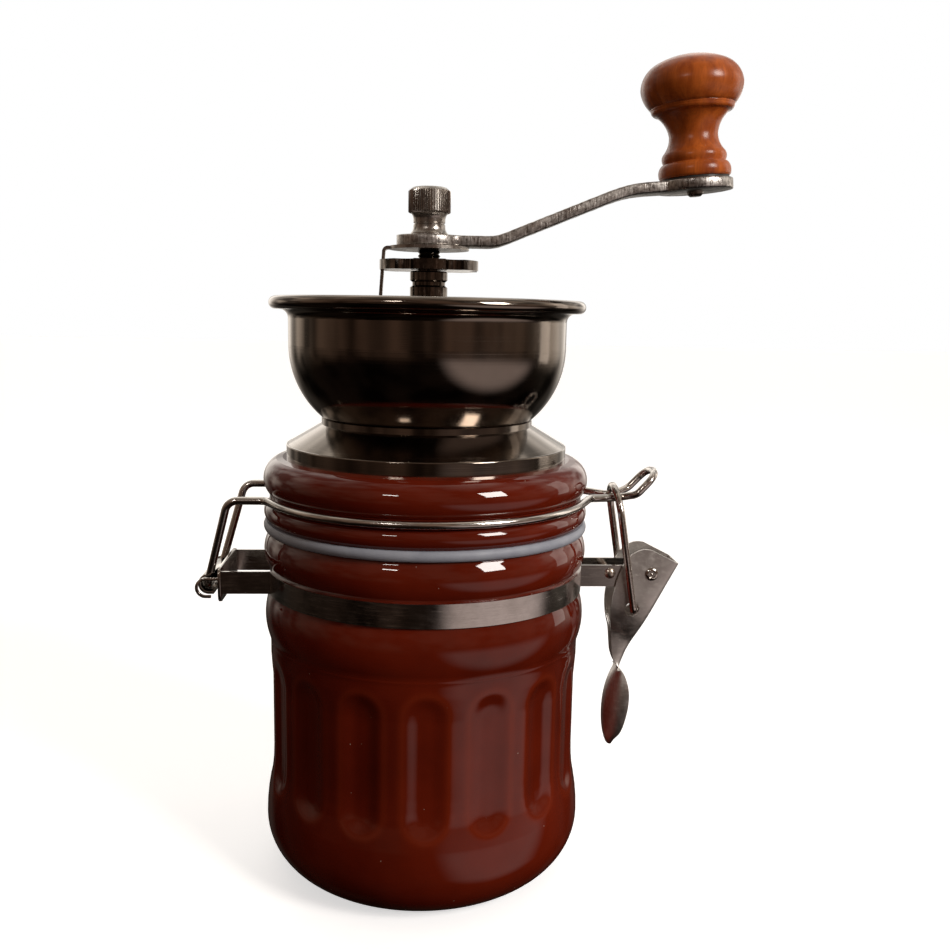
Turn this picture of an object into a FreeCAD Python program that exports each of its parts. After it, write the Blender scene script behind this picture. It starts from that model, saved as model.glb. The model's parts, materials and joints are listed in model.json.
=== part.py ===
"""Hand crank coffee grinder: ceramic jar, swing-top lid with a burr mill, spun hopper and crank.

Units are millimetres. The origin is the centre of the jar's base, +Z points up and the latch is on +X.
"""
import FreeCAD, Part
import os
import math
import Sketcher

os.makedirs("parts", exist_ok=True)
doc = FreeCAD.newDocument("CoffeeGrinder")
Vector = FreeCAD.Vector
Rotation = FreeCAD.Rotation
Placement = FreeCAD.Placement

# ---------------------------------------------------------------------------------------------------
# Driving dimensions
# ---------------------------------------------------------------------------------------------------
SIZES = {
    # jar
    "bead_radius": 51.0, "waist_radius": 48.7, "foot_radius": 36.0, "neck_radius": 49.3,
    "jar_height": 110.0, "jar_floor": 5.0, "jar_bore": 44.2, "mouth_radius": 43.5,
    "belly_level": 16.5, "waist_low": 39.5, "waist_top": 60.0, "shoulder_low": 74.5,
    "flute_count": 16, "flute_width": 12.6, "flute_low": 28.0, "flute_top": 71.0, "flute_depth": 1.1,
    # clamp band and latch mounting
    "band_low": 91.2, "band_tall": 7.0, "band_sheet": 0.7, "strap_offset": 14.5, "strap_reach": 62.7,
    "ear_offset": 5.0, "tie_reach": 59.3, "rivet_level": 95.6, "pivot_reach": 72.6,
    "tie_radius": 1.0, "pivot_radius": 1.2,
    # hinge plate and knuckle
    "plate_low": 88.2, "plate_top": 99.2, "plate_sheet": 0.9, "plate_half": 14.9,
    "knuckle_reach": 67.3, "knuckle_level": 93.0, "knuckle_radius": 3.2,
    # bail wire and link wire
    "wire": 2.4, "link_wire": 2.3, "bail_level": 120.4, "bail_ring": 50.4, "leg_half": 11.7,
    "shoulder_half": 15.8, "link_half": 8.7, "link_foot_reach": 66.8, "link_foot_level": 83.8,
    "link_top_reach": 60.2, "link_top_level": 123.3,
    # latch lever
    "lever_sheet": 0.8, "lever_half": 6.5,
    # ceramic lid ring and seal
    "seal_gap": 0.1, "seal_tall": 3.0, "collar_top": 132.6, "collar_bore": 34.0, "groove_radius": 49.1,
    "spigot_radius": 38.0, "spigot_low": 106.0,
    # hopper
    "skirt_radius": 43.8, "skirt_top": 136.7, "cone_top": 142.8, "throat_radius": 33.0,
    "hopper_sheet": 1.2, "bowl_low": 144.6, "bowl_radius": 43.0, "bowl_side": 167.0, "bowl_bend": 29.1,
    "lip_low": 175.0, "lip_radius": 46.8, "lip_level": 179.6, "lip_roll": 1.95, "floor_hole": 25.0,
    # bridge, bushing and throat bearing
    "bridge_width": 12.0, "bridge_sheet": 2.0, "bridge_top": 178.0, "bridge_foot": 31.0,
    "bushing_radius": 5.8, "bushing_top": 189.9, "spigot_bush": 5.0, "bearing_bore": 4.15,
    # shaft and its parts
    "shaft_radius": 4.0, "thread_radius": 3.5, "thread_pitch": 1.25, "shaft_low": 96.5, "shaft_step": 189.5,
    "shaft_top": 209.0, "wheel_low": 190.1, "wheel_sheet": 3.0, "wheel_radius": 15.4,
    "notch_radius": 3.3, "notch_centre": 15.9, "wheel_bore": 3.65,
    "clip_low": 196.3, "clip_sheet": 1.0, "clip_radius": 12.3, "clip_leg": 4.0, "clip_leg_low": 181.0,
    # crank arm and thumb nut
    "arm_level": 199.0, "arm_sheet": 3.2, "arm_hub": 10.0, "arm_width": 12.0, "arm_pad": 11.5,
    "arm_bend": 20.5, "arm_rise": 60.65, "arm_rise_level": 215.63, "knob_reach": 82.0, "knob_level": 217.5,
    "knob_tilt": 5.0, "nut_radius": 6.5, "nut_top": 215.0, "nut_neck": 4.9,
    # knob and pin
    "knob_head": 15.5, "knob_waist": 7.4, "knob_foot": 11.0, "knob_tall": 36.2, "knob_bore": 2.2,
    "pin_radius": 2.0, "washer_radius": 10.4, "washer_sheet": 0.6,
    # burr set
    "housing_radius": 26.0, "housing_bore": 24.4, "housing_low": 100.0, "flange_radius": 36.5,
    "screw_circle": 31.0, "screw_radius": 1.5, "burr_low": 101.0, "burr_top": 119.0, "cone_tip": 122.0,
    "cone_radius": 20.2, "spring_radius": 6.2, "spring_wire": 1.2, "spring_turns": 5,
    "bearing_low": 134.1, "groove_count": 12,
}

sheet = doc.addObject("Spreadsheet::Sheet", "Sizes")
for row, (alias, size) in enumerate(SIZES.items(), start=1):
    sheet.set(f"A{row}", alias)
    sheet.set(f"B{row}", str(size))
    sheet.setAlias(f"B{row}", alias)
doc.recompute()


class Length:
    """A length that carries its spreadsheet expression beside its value."""

    def __init__(self, value, text):
        self.value = float(value)
        self.text = text

    def __add__(self, other):
        other = as_length(other)
        return Length(self.value + other.value, f"({self.text} + {other.text})")

    def __sub__(self, other):
        other = as_length(other)
        return Length(self.value - other.value, f"({self.text} - {other.text})")

    def __mul__(self, other):
        other = as_length(other)
        return Length(self.value * other.value, f"({self.text} * {other.text})")

    def __truediv__(self, other):
        other = as_length(other)
        return Length(self.value / other.value, f"({self.text} / {other.text})")

    def __neg__(self):
        return Length(-self.value, f"(0 - {self.text})")


def as_length(number):
    return number if isinstance(number, Length) else Length(number, f"{float(number):g}")


def size(alias):
    """The length in the spreadsheet cell of that name."""
    return Length(SIZES[alias], f"Sizes.{alias}")


def root_of_squares(long_side, short_side):
    """The third side of a right triangle."""
    value = math.sqrt(long_side.value ** 2 - short_side.value ** 2)
    return Length(value, f"sqrt({long_side.text} ^ 2 - {short_side.text} ^ 2)")


# ---------------------------------------------------------------------------------------------------
# Sketch and feature helpers
# ---------------------------------------------------------------------------------------------------
def new_body(label):
    body = doc.addObject("PartDesign::Body", label)
    body.Label = label
    return body


def new_sketch(body, plane, level=0.0):
    """A sketch on one of the body's own origin planes, lifted along its normal by level."""
    sketch = body.newObject("Sketcher::SketchObject", f"{body.Label}_sketch")
    support = next(item for item in body.Origin.OriginFeatures if item.Role == plane)
    sketch.AttachmentSupport = [(support, "")]
    sketch.MapMode = "FlatFace"
    level = as_length(level)
    sketch.AttachmentOffset = Placement(Vector(0, 0, level.value), Rotation())
    sketch.setExpression("AttachmentOffset.Base.z", level.text)
    return sketch


def bind(sketch, kind, arguments, length):
    """Adds a dimension to a sketch and binds it to the length's expression."""
    length = as_length(length)
    index = sketch.addConstraint(Sketcher.Constraint(kind, *arguments, length.value))
    sketch.setExpression(f"Constraints[{index}]", length.text)


def outline(sketch, corners):
    """Draws a closed outline. A corner is (x, y), or (x, y, radius) where an arc of that radius ends there.

    An arc with a positive radius turns left along the way round, and one with a negative radius turns right.
    """
    points = [(as_length(corner[0]), as_length(corner[1])) for corner in corners]
    first = sketch.GeometryCount
    for index, corner in enumerate(corners):
        start = Vector(points[index - 1][0].value, points[index - 1][1].value, 0)
        end = Vector(points[index][0].value, points[index][1].value, 0)
        if len(corner) == 2:
            sketch.addGeometry(Part.LineSegment(start, end))
            continue
        bend = as_length(corner[2])
        chord = end - start
        half = chord.Length / 2
        left = Vector(-chord.y, chord.x, 0).normalize()
        side = math.copysign(1.0, bend.value)
        sagitta = abs(bend.value) - math.sqrt(max(bend.value ** 2 - half ** 2, 0.0))
        middle = (start + end) * 0.5 - left * (side * sagitta)
        sketch.addGeometry(Part.Arc(start, middle, end))
    count = len(corners)
    for index, corner in enumerate(corners):
        geometry = first + index
        following = first + (index + 1) % count
        # an arc that turns right is stored the other way round, so its end is its start point
        this_end = 1 if len(corner) == 3 and as_length(corner[2]).value < 0 else 2
        next_corner = corners[(index + 1) % count]
        next_start = 2 if len(next_corner) == 3 and as_length(next_corner[2]).value < 0 else 1
        sketch.addConstraint(Sketcher.Constraint("Coincident", geometry, this_end, following, next_start))
        bind(sketch, "DistanceX", (-1, 1, geometry, this_end), points[index][0])
        bind(sketch, "DistanceY", (-1, 1, geometry, this_end), points[index][1])
    for index, corner in enumerate(corners):
        if len(corner) == 3:
            hold_arc(sketch, first + index, points[index - 1], points[index], as_length(corner[2]))


def hold_arc(sketch, arc, start, end, bend):
    """Holds an arc by its radius, or a half circle by its centre, where a radius would leave it loose."""
    across, up = end[0].value - start[0].value, end[1].value - start[1].value
    if abs(bend.value) > math.hypot(across, up) / 2 + 0.001:
        bind(sketch, "Radius", (arc,), bend if bend.value > 0 else -bend)
    elif abs(across) > abs(up):
        bind(sketch, "DistanceY", (-1, 1, arc, 3), (start[1] + end[1]) / 2)
    else:
        bind(sketch, "DistanceX", (-1, 1, arc, 3), (start[0] + end[0]) / 2)


def circle(sketch, x, y, radius):
    """Draws a circle held by its centre and radius."""
    x, y, radius = as_length(x), as_length(y), as_length(radius)
    index = sketch.addGeometry(Part.Circle(Vector(x.value, y.value, 0), Vector(0, 0, 1), radius.value))
    bind(sketch, "DistanceX", (-1, 1, index, 3), x)
    bind(sketch, "DistanceY", (-1, 1, index, 3), y)
    bind(sketch, "Radius", (index,), radius)


def origin_axis(body, role):
    return next(item for item in body.Origin.OriginFeatures if item.Role == role)


def revolve(body, corners):
    """A body turned round its Z axis from a closed outline of (radius, level) corners."""
    sketch = new_sketch(body, "XZ_Plane")
    outline(sketch, corners)
    turned = body.newObject("PartDesign::Revolution", f"{body.Label}_turned")
    turned.Profile = sketch
    turned.ReferenceAxis = (origin_axis(body, "Z_Axis"), [""])
    turned.Angle = 360
    body.Tip = turned
    doc.recompute()
    return turned


def pad(body, sketch, length, symmetric=False):
    length = as_length(length)
    padded = body.newObject("PartDesign::Pad", f"{body.Label}_pad")
    padded.Profile = sketch
    padded.Length = length.value
    padded.setExpression("Length", length.text)
    padded.Midplane = symmetric
    body.Tip = padded
    doc.recompute()
    return padded


def pocket(body, sketch, length, symmetric=False, turn_back=False):
    """Cuts the sketch into the body, and stops where the cut takes nothing away."""
    length = as_length(length)
    doc.recompute()
    before = body.Shape.Volume
    cut = body.newObject("PartDesign::Pocket", f"{body.Label}_pocket")
    cut.Profile = sketch
    cut.Length = length.value
    cut.setExpression("Length", length.text)
    cut.Midplane = symmetric
    cut.Reversed = turn_back
    body.Tip = cut
    doc.recompute()
    if body.Shape.Volume > before - 0.01:
        raise ValueError(f"a pocket of {body.Label} cuts nothing")
    return cut


def repeat_round(body, feature, count):
    """Repeats a feature evenly round the Z axis."""
    count = as_length(count)
    pattern = body.newObject("PartDesign::PolarPattern", f"{body.Label}_round")
    pattern.Originals = [feature]
    pattern.Axis = (origin_axis(body, "Z_Axis"), [""])
    pattern.Angle = 360
    pattern.Occurrences = int(count.value)
    pattern.setExpression("Occurrences", count.text)
    body.Tip = pattern
    return pattern


def fixed_shape(label, shape):
    """A piece whose shape comes from Part's own functions, such as a bent wire."""
    piece = doc.addObject("Part::Feature", label)
    piece.Label = label
    piece.Shape = shape
    piece.Placement = Placement()
    return piece


# ---------------------------------------------------------------------------------------------------
# Jar and the steel fittings on it
# ---------------------------------------------------------------------------------------------------
def make_jar():
    """The ceramic jar: a turned pot with a beaded neck, and a ring of shallow flutes."""
    bead, waist, neck = size("bead_radius"), size("waist_radius"), size("neck_radius")
    belly, height, bore = size("belly_level"), size("jar_height"), size("jar_bore")
    body = new_body("jar")
    half_way = (belly + size("waist_low")) / 2
    revolve(body, [
        (0, 0),
        (size("foot_radius"), 0),
        (bead, belly, 16.7),
        ((bead + waist) / 2, half_way, 58),
        (waist, size("waist_low"), -58),
        (waist, size("waist_top")),
        (neck, size("shoulder_low")),
        (neck, size("band_low") - 0.4, 19.9),
        (neck, size("band_low") + size("band_tall") + 0.4),
        (neck, height - 0.6, 9.7),
        (neck - 0.6, height),
        (size("mouth_radius"), height),
        (size("mouth_radius"), height - 11),
        (bore, height - 15),
        (bore, size("jar_floor") + 10),
        (bore - 10, size("jar_floor"), -10),
        (0, size("jar_floor")),
    ])
    # a flute is a slot with round ends, cut radially to a flat that lies flute_depth deep
    half = size("flute_width") / 2
    low, top = size("flute_low") + half, size("flute_top") - half
    flute = new_sketch(body, "XZ_Plane", waist - size("flute_depth"))
    outline(flute, [(half, top), (-half, top, half), (-half, low), (half, low, half)])
    cut = pocket(body, flute, 6, turn_back=True)
    repeat_round(body, cut, size("flute_count"))


def make_clamp_band(label, side):
    """Half of the neck band. Its left end runs out as a hinge strap and its right end as a latch ear."""
    thick = size("band_sheet") / 2
    inner, outer = size("neck_radius"), size("neck_radius") + size("band_sheet")
    strap, ear = size("strap_offset"), size("ear_offset")
    strap_end, ear_end = -size("strap_reach"), size("pivot_reach") + 3.4
    body = new_body(label)
    sketch = new_sketch(body, "XY_Plane", size("band_low"))
    near_strap, far_strap = strap + thick, strap - thick
    near_ear, far_ear = ear + thick, ear - thick
    right_turn = outer if side < 0 else -outer
    left_turn = -inner if side < 0 else inner
    outline(sketch, [
        (strap_end, near_strap * side),
        (-root_of_squares(outer, near_strap), near_strap * side),
        (root_of_squares(outer, near_ear), near_ear * side, right_turn),
        (ear_end, near_ear * side),
        (ear_end, far_ear * side),
        (root_of_squares(inner, far_ear), far_ear * side),
        (-root_of_squares(inner, far_strap), far_strap * side, left_turn),
        (strap_end, far_strap * side),
    ])
    pad(body, sketch, size("band_tall"))
    holes = new_sketch(body, "XZ_Plane")
    circle(holes, size("tie_reach"), size("rivet_level"), size("tie_radius"))
    circle(holes, size("pivot_reach"), size("rivet_level"), size("pivot_radius"))
    pocket(body, holes, 30, symmetric=True)


def make_hinge_plate():
    """The plate across the two straps, with a strip rolled into a knuckle round the bail wire."""
    thick, half = size("plate_sheet"), size("plate_half")
    face = -size("strap_reach")
    centre, level = -size("knuckle_reach"), size("knuckle_level")
    outer = size("knuckle_radius")
    inner = outer - thick
    body = new_body("hinge_plate")
    plate = new_sketch(body, "XZ_Plane")
    outline(plate, [
        (face, size("plate_low")),
        (face, size("plate_top")),
        (face - thick, size("plate_top")),
        (face - thick, size("plate_low")),
    ])
    pad(body, plate, half * 2, symmetric=True)
    roll = new_sketch(body, "XZ_Plane")
    outline(roll, [
        (face - thick, level + outer),
        (centre, level + outer),
        (centre, level - outer, outer),
        (centre + inner * 0.7, level - outer),
        (centre + inner * 0.7, level - inner),
        (centre, level - inner),
        (centre, level + inner, -inner),
        (face - thick, level + inner),
    ])
    pad(body, roll, half * 2, symmetric=True)
    # the legs of the bail come out of the knuckle through two notches
    for side in (1, -1):
        notch = new_sketch(body, "XY_Plane", level - outer - 1)
        middle, reach = size("leg_half") + 0.4, 2.0
        outline(notch, [
            (centre - outer - 1, (middle - reach) * side),
            (face - thick - 0.2, (middle - reach) * side),
            (face - thick - 0.2, (middle + reach) * side),
            (centre - outer - 1, (middle + reach) * side),
        ])
        pocket(body, notch, outer * 2 + 2, turn_back=True)


def make_rivet(label, reach, shank, grip, head):
    """A rivet along Y, turned in its own frame and laid down with its middle on the XZ plane."""
    body = new_body(label)
    edge = grip + 0.7
    revolve(body, [
        (0, -edge),
        (head - 0.4, -edge),
        (head, -(grip + 0.3)),
        (head, -grip),
        (shank, -grip),
        (shank, grip),
        (head, grip),
        (head, grip + 0.3),
        (head - 0.4, edge),
        (0, edge),
    ])
    body.Placement = Placement(Vector(reach.value, 0, size("rivet_level").value), Rotation(Vector(1, 0, 0), 90))
    body.setExpression("Placement.Base.x", reach.text)
    body.setExpression("Placement.Base.z", size("rivet_level").text)


# ---------------------------------------------------------------------------------------------------
# Latch lever, made from Part primitives and booleans
# ---------------------------------------------------------------------------------------------------
# the two ends of the channel's web, which is its straight outer side
WEB_TOP = Vector(81.6, 0, 98.8)
WEB_FOOT = Vector(66.9, 0, 69.5)
NECK_HALF = 2.0
BAR_HALF = 10.0


def bar_across(radius, x, z):
    """A round bar along Y, long enough to pass through the whole lever."""
    return Part.makeCylinder(radius, BAR_HALF * 2, Vector(x, -BAR_HALF, z), Vector(0, 1, 0))


def lever_side():
    """The lever's outline in the XZ plane: a rounded head, a bulging edge towards the jar, a straight web."""
    head = Vector(72.5, 0, 103.6)
    shoulder = Vector(63.7, 0, 99.2)
    edge = Vector(59.4, 0, 80.0)
    neck_left = Vector(61.6, 0, WEB_FOOT.z)
    over_head = Vector(67.3, 0, 102.6)
    beside_jar = Vector(60.7, 0, 90.0)
    return Part.Wire([
        Part.LineSegment(WEB_TOP, head).toShape(),
        Part.Arc(head, over_head, shoulder).toShape(),
        Part.Arc(shoulder, beside_jar, edge).toShape(),
        Part.LineSegment(edge, neck_left).toShape(),
        Part.LineSegment(neck_left, WEB_FOOT).toShape(),
        Part.LineSegment(WEB_FOOT, WEB_TOP).toShape(),
    ])


def lever_hollow(sheet_width):
    """The outline of the channel's inside: open at the top and towards the jar, one sheet off the web."""
    along = (WEB_TOP - WEB_FOOT).normalize()
    inward = Vector(-along.z, 0, along.x) * sheet_width
    bottom = WEB_FOOT + inward + along * 2
    top = WEB_TOP + inward + along * 8
    open_side = 50.0
    return Part.makePolygon([
        bottom, top, Vector(open_side, 0, top.z), Vector(open_side, 0, bottom.z), bottom])


def pinched(half, neck_half):
    """The lever's outline in the YZ plane: full width above, drawn together at the neck."""
    above, pinch_top, pinch_low, below = 110, 85, 71, 60
    right = [(half, above), (half, pinch_top), (neck_half, pinch_low), (neck_half, below)]
    left = [(-y, z) for y, z in reversed(right)]
    corners = [Vector(0, y, z) for y, z in left + right]
    corners = corners[len(left):] + corners[:len(left)]
    return Part.makePolygon(corners + corners[:1])


def both_ways(side_wire, front_wire, half):
    """The solid that has one outline from the side and another from the front."""
    side_wire.translate(Vector(0, -half, 0))
    from_side = Part.Face(side_wire).extrude(Vector(0, 2 * half, 0))
    front_wire.translate(Vector(40, 0, 0))
    from_front = Part.Face(front_wire).extrude(Vector(60, 0, 0))
    return from_side.common(from_front)


def spoon(grow):
    """The long, round form of the thumb tab, grown inwards by a negative amount for its hollow side."""
    half_deep, half_wide, half_long, tilt = 6.4, 6.9, 18.0, 4
    matrix = FreeCAD.Matrix()
    matrix.scale(half_deep + grow, half_wide + grow, half_long + grow)
    leaf = Part.makeSphere(1).transformGeometry(matrix)
    leaf.Placement = Placement(Vector(65.7, 0, 53.2), Rotation(Vector(0, 1, 0), tilt))
    return leaf


def make_latch_lever():
    """The pressed lever: an open channel over the ears, a pinched neck and a spoon shaped thumb tab."""
    thick, half = size("lever_sheet").value, size("lever_half").value
    channel = both_ways(lever_side(), pinched(half, NECK_HALF), 8).cut(
        both_ways(lever_hollow(thick), pinched(half - thick, NECK_HALF - thick), 8))
    # a wide round bar on the jar's side gives the spoon its hollow rim
    rim = bar_across(25.6, 42.0, 51.0)
    tab = spoon(0).cut(spoon(-thick - 0.1)).common(rim)
    neck_block = Part.makeBox(4.6, 3.2, 7.5, Vector(61.7, -1.6, 62.6))
    neck_top = Part.makeBox(10, 4, 4, Vector(60, -2, 66.5))
    neck = neck_block.common(rim.fuse(neck_top))
    pivot = bar_across(1.3, size("pivot_reach").value, size("rivet_level").value)
    eye = bar_across(2.0, size("link_foot_reach").value, size("link_foot_level").value)
    lever = channel.fuse([tab, neck]).cut([pivot, eye]).removeSplitter()
    fixed_shape("latch_lever", lever)


# ---------------------------------------------------------------------------------------------------
# Bent wires
# ---------------------------------------------------------------------------------------------------
def rounded_path(corners, bends):
    """Straight runs between the corners, with each inner corner rounded to its bend radius."""
    edges = []
    start = corners[0]
    for corner, following, bend in zip(corners[1:-1], corners[2:], bends):
        back = (start - corner).normalize()
        ahead = (following - corner).normalize()
        angle = back.getAngle(ahead)
        reach = bend / math.tan(angle / 2)
        into, out_of = corner + back * reach, corner + ahead * reach
        bisector = (back + ahead).normalize()
        middle = corner + bisector * (bend / math.sin(angle / 2) - bend)
        edges.append(Part.LineSegment(start, into).toShape())
        edges.append(Part.Arc(into, middle, out_of).toShape())
        start = out_of
    edges.append(Part.LineSegment(start, corners[-1]).toShape())
    return edges


def wire_rod(edges, diameter):
    """A round wire swept along a smooth chain of edges."""
    path = Part.Wire(Part.__sortEdges__(edges))
    first = path.OrderedEdges[0]
    start = path.OrderedVertexes[0].Point
    heading = first.tangentAt(first.FirstParameter)
    profile = Part.Wire([Part.makeCircle(diameter / 2, start, heading)])
    return path.makePipeShell([profile], True, True)


def tangent_point(corner, radius, turn):
    """Where a straight run from the corner touches the ring of that radius round the Z axis."""
    flat = math.hypot(corner.x, corner.y)
    angle = math.atan2(corner.y, corner.x) + turn * math.acos(radius / flat)
    return Vector(radius * math.cos(angle), radius * math.sin(angle), corner.z)


def make_bail_wire():
    """One wire: hinge stubs, two legs, the ring round the lid and the finger loop at the nose."""
    level, ring = size("bail_level").value, size("bail_ring").value
    hinge_x, hinge_z = -size("knuckle_reach").value, size("knuckle_level").value
    leg, shoulder = size("leg_half").value, size("shoulder_half").value
    left_kink = Vector(-48.6, -shoulder, level)
    right_kink = Vector(51.4, -7.6, level)
    left_touch = tangent_point(left_kink, ring, 1)
    right_touch = tangent_point(right_kink, ring, -1)
    legs = rounded_path([
        Vector(hinge_x, -5.5, hinge_z),
        Vector(hinge_x, -leg, hinge_z),
        Vector(-59.9, -shoulder, level),
        left_kink,
        left_touch,
    ], [2.0, 4.0, 3.0])
    # the two wires close up where the link crosses them, then part again for the finger loop
    crossing = Vector(60.2, -2.5, level - 0.6)
    loop_side = Vector(67.6, -5.0, level + 1.4)
    loop_tip = Vector(72.0, -3.2, level + 6.8)
    loop_far_tip = Vector(loop_tip.x, -loop_tip.y, loop_tip.z)
    loop_middle = Vector(loop_tip.x, 0, loop_tip.z)
    nose = rounded_path(
        [right_touch, right_kink, crossing, loop_side, loop_tip, loop_far_tip], [4.0, 6.0, 4.0, 2.2])
    nose[-1] = Part.LineSegment(nose[-1].Vertexes[0].Point, loop_middle).toShape()
    around = Part.Arc(left_touch, Vector(0, -ring, level), right_touch).toShape()
    near_half = legs + [around] + nose
    far_half = [edge.mirror(Vector(0, 0, 0), Vector(0, 1, 0)) for edge in near_half]
    fixed_shape("bail_wire", wire_rod(near_half + far_half, size("wire").value))


def make_latch_link():
    """The U shaped link: a round crown over the nose, two legs beside the lever, and turned-in feet."""
    half = size("link_half").value
    foot = Vector(size("link_foot_reach").value, 0, size("link_foot_level").value)
    crown = Vector(size("link_top_reach").value, 0, size("link_top_level").value)
    along = (crown - foot).normalize()
    spring_line = crown - along * half
    edges = []
    for side in (-1, 1):
        out = Vector(0, side * half, 0)
        toe = foot + Vector(0, side * (size("lever_half").value + 0.2), 0)
        edges += rounded_path([toe, foot + out, spring_line + out], [1.4])
    edges.append(Part.Arc(spring_line + Vector(0, -half, 0), crown, spring_line + Vector(0, half, 0)).toShape())
    fixed_shape("latch_link", wire_rod(edges, size("link_wire").value))


def make_burr_spring():
    """The coil spring between the throat bearing and the inner burr."""
    wire, radius = size("spring_wire").value, size("spring_radius").value
    # half a millimetre of play at each end lets the inner burr rise with the shaft
    low = size("cone_tip").value + wire / 2 + 0.5
    tall = size("bearing_low").value - wire / 2 - 0.5 - low
    steps_per_turn = 12
    steps = steps_per_turn * SIZES["spring_turns"]
    points = []
    for step in range(steps + 1):
        angle = 2 * math.pi * step / steps_per_turn
        points.append(Vector(radius * math.cos(angle), radius * math.sin(angle), low + tall * step / steps))
    helix = Part.BSplineCurve()
    helix.interpolate(points)
    path = helix.toShape()
    profile = Part.Wire([Part.makeCircle(wire / 2, points[0], path.tangentAt(path.FirstParameter))])
    fixed_shape("burr_spring", Part.Wire([path]).makePipeShell([profile], True, False))


# ---------------------------------------------------------------------------------------------------
# Lid and hopper
# ---------------------------------------------------------------------------------------------------
def make_lid_collar():
    """The glazed lid ring: two beads with the bail groove between them, and a spigot into the jar."""
    seat = size("jar_height") + size("seal_gap") + size("seal_tall")
    groove, level, top = size("groove_radius"), size("bail_level"), size("collar_top")
    body = new_body("lid_collar")
    revolve(body, [
        (size("collar_bore"), size("spigot_low")),
        (size("spigot_radius"), size("spigot_low")),
        (size("spigot_radius"), seat),
        (groove + 0.3, seat),
        (groove, level - 1.2, 3.7),
        (groove, level + 1.2),
        (size("skirt_radius") + 3.2, top - 0.4, 6.62),
        (size("skirt_radius") + 1.2, top),
        (size("collar_bore"), top),
    ])


def make_lid_gasket():
    low = size("jar_height") + size("seal_gap")
    body = new_body("lid_gasket")
    edge = size("bead_radius") - 0.8
    revolve(body, [
        (size("spigot_radius"), low),
        (edge, low),
        (edge, low + size("seal_tall"), 1.8),
        (size("spigot_radius"), low + size("seal_tall")),
    ])


def screw_holes(body, level, depth):
    """Three holes for the long housing screws."""
    holes = new_sketch(body, "XY_Plane", level)
    circle(holes, size("screw_circle"), 0, size("screw_radius"))
    cut = pocket(body, holes, depth, turn_back=True)
    repeat_round(body, cut, 3)


def make_hopper_base():
    """The metal skirt on the lid ring: a floor ring, a short wall and a cone up to the throat."""
    low, thick = size("collar_top"), size("hopper_sheet")
    skirt, throat, floor = size("skirt_radius"), size("throat_radius"), size("bearing_low")
    body = new_body("hopper_base")
    revolve(body, [
        (size("housing_bore") + 2, low),
        (skirt, low),
        (skirt, size("skirt_top") - 0.4),
        (skirt - 0.5, size("skirt_top"), 0.5),
        (throat, size("cone_top")),
        (throat, size("bowl_low")),
        (throat - thick, size("bowl_low")),
        (throat - thick, size("cone_top") - 0.8),
        (skirt - thick, size("skirt_top") - 1),
        (skirt - thick, floor),
        (size("housing_bore") + 2, floor),
    ])
    screw_holes(body, low - 1, 4)


def make_hopper_bowl():
    """The spun bowl: a holed floor, a round side, and a lip rolled over a wire."""
    low, thick, bend = size("bowl_low"), size("hopper_sheet"), size("bowl_bend")
    radius, side, lip = size("bowl_radius"), size("bowl_side"), size("lip_low")
    roll, lip_radius, lip_level = size("lip_roll"), size("lip_radius"), size("lip_level")
    body = new_body("hopper_bowl")
    revolve(body, [
        (size("floor_hole"), low),
        (size("throat_radius") - 0.5, low),
        (radius, side, bend),
        (radius, lip),
        (radius + 2.65, lip + 2.65, -2.65),
        (lip_radius, lip_level - roll),
        (lip_radius, lip_level + roll, roll),
        (radius + 1.4, lip_level + 0.9),
        (radius - thick, lip + 1.4, 5.4),
        (radius - thick, side),
        (size("throat_radius") - 1, low + thick, -(bend - thick)),
        (size("floor_hole"), low + thick),
    ])
    holes = new_sketch(body, "XY_Plane", low - 1)
    for direction in (1, -1):
        circle(holes, 0, (size("bridge_foot") - 2.4) * direction, 1.5)
    pocket(body, holes, 4, turn_back=True)


def make_shaft_bridge():
    """The bent bracket across the hopper that carries the bushing."""
    foot, sheet_width, top = size("bridge_foot"), size("bridge_sheet"), size("bridge_top")
    floor = size("bowl_low") + size("hopper_sheet")
    knee, crown = foot - 5, as_length(9.0)
    body = new_body("shaft_bridge")
    sketch = new_sketch(body, "YZ_Plane")
    outline(sketch, [
        (foot, floor),
        (foot, floor + sheet_width),
        (knee, floor + sheet_width),
        (crown, top),
        (-crown, top),
        (-knee, floor + sheet_width),
        (-foot, floor + sheet_width),
        (-foot, floor),
        (-(knee - 1.6), floor),
        (-(crown - 0.6), top - sheet_width),
        (crown - 0.6, top - sheet_width),
        (knee - 1.6, floor),
    ])
    pad(body, sketch, size("bridge_width"), symmetric=True)
    bore = new_sketch(body, "XY_Plane", top - sheet_width - 1)
    circle(bore, 0, 0, size("spigot_bush"))
    pocket(body, bore, sheet_width + 2, turn_back=True)
    holes = new_sketch(body, "XY_Plane", floor - 1)
    for direction in (1, -1):
        circle(holes, 0, (foot - 2.4) * direction, 1.5)
    pocket(body, holes, sheet_width + 2, turn_back=True)


def screw(x, y, low, top, head_low, head_top):
    """A round-headed screw along Z, with a slot across the outer face of its head."""
    head_radius, slot_wide, slot_deep = 2.7, 0.8, 0.8
    shank = Part.makeCylinder(size("screw_radius").value, top - low, Vector(x, y, low))
    head = Part.makeCylinder(head_radius, head_top - head_low, Vector(x, y, head_low))
    slot_low = head_low if head_low < low else head_top - slot_deep
    corner = Vector(x - head_radius, y - slot_wide / 2, slot_low)
    slot = Part.makeBox(head_radius * 2, slot_wide, slot_deep, corner)
    return shank.fuse(head).cut(slot)


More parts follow.
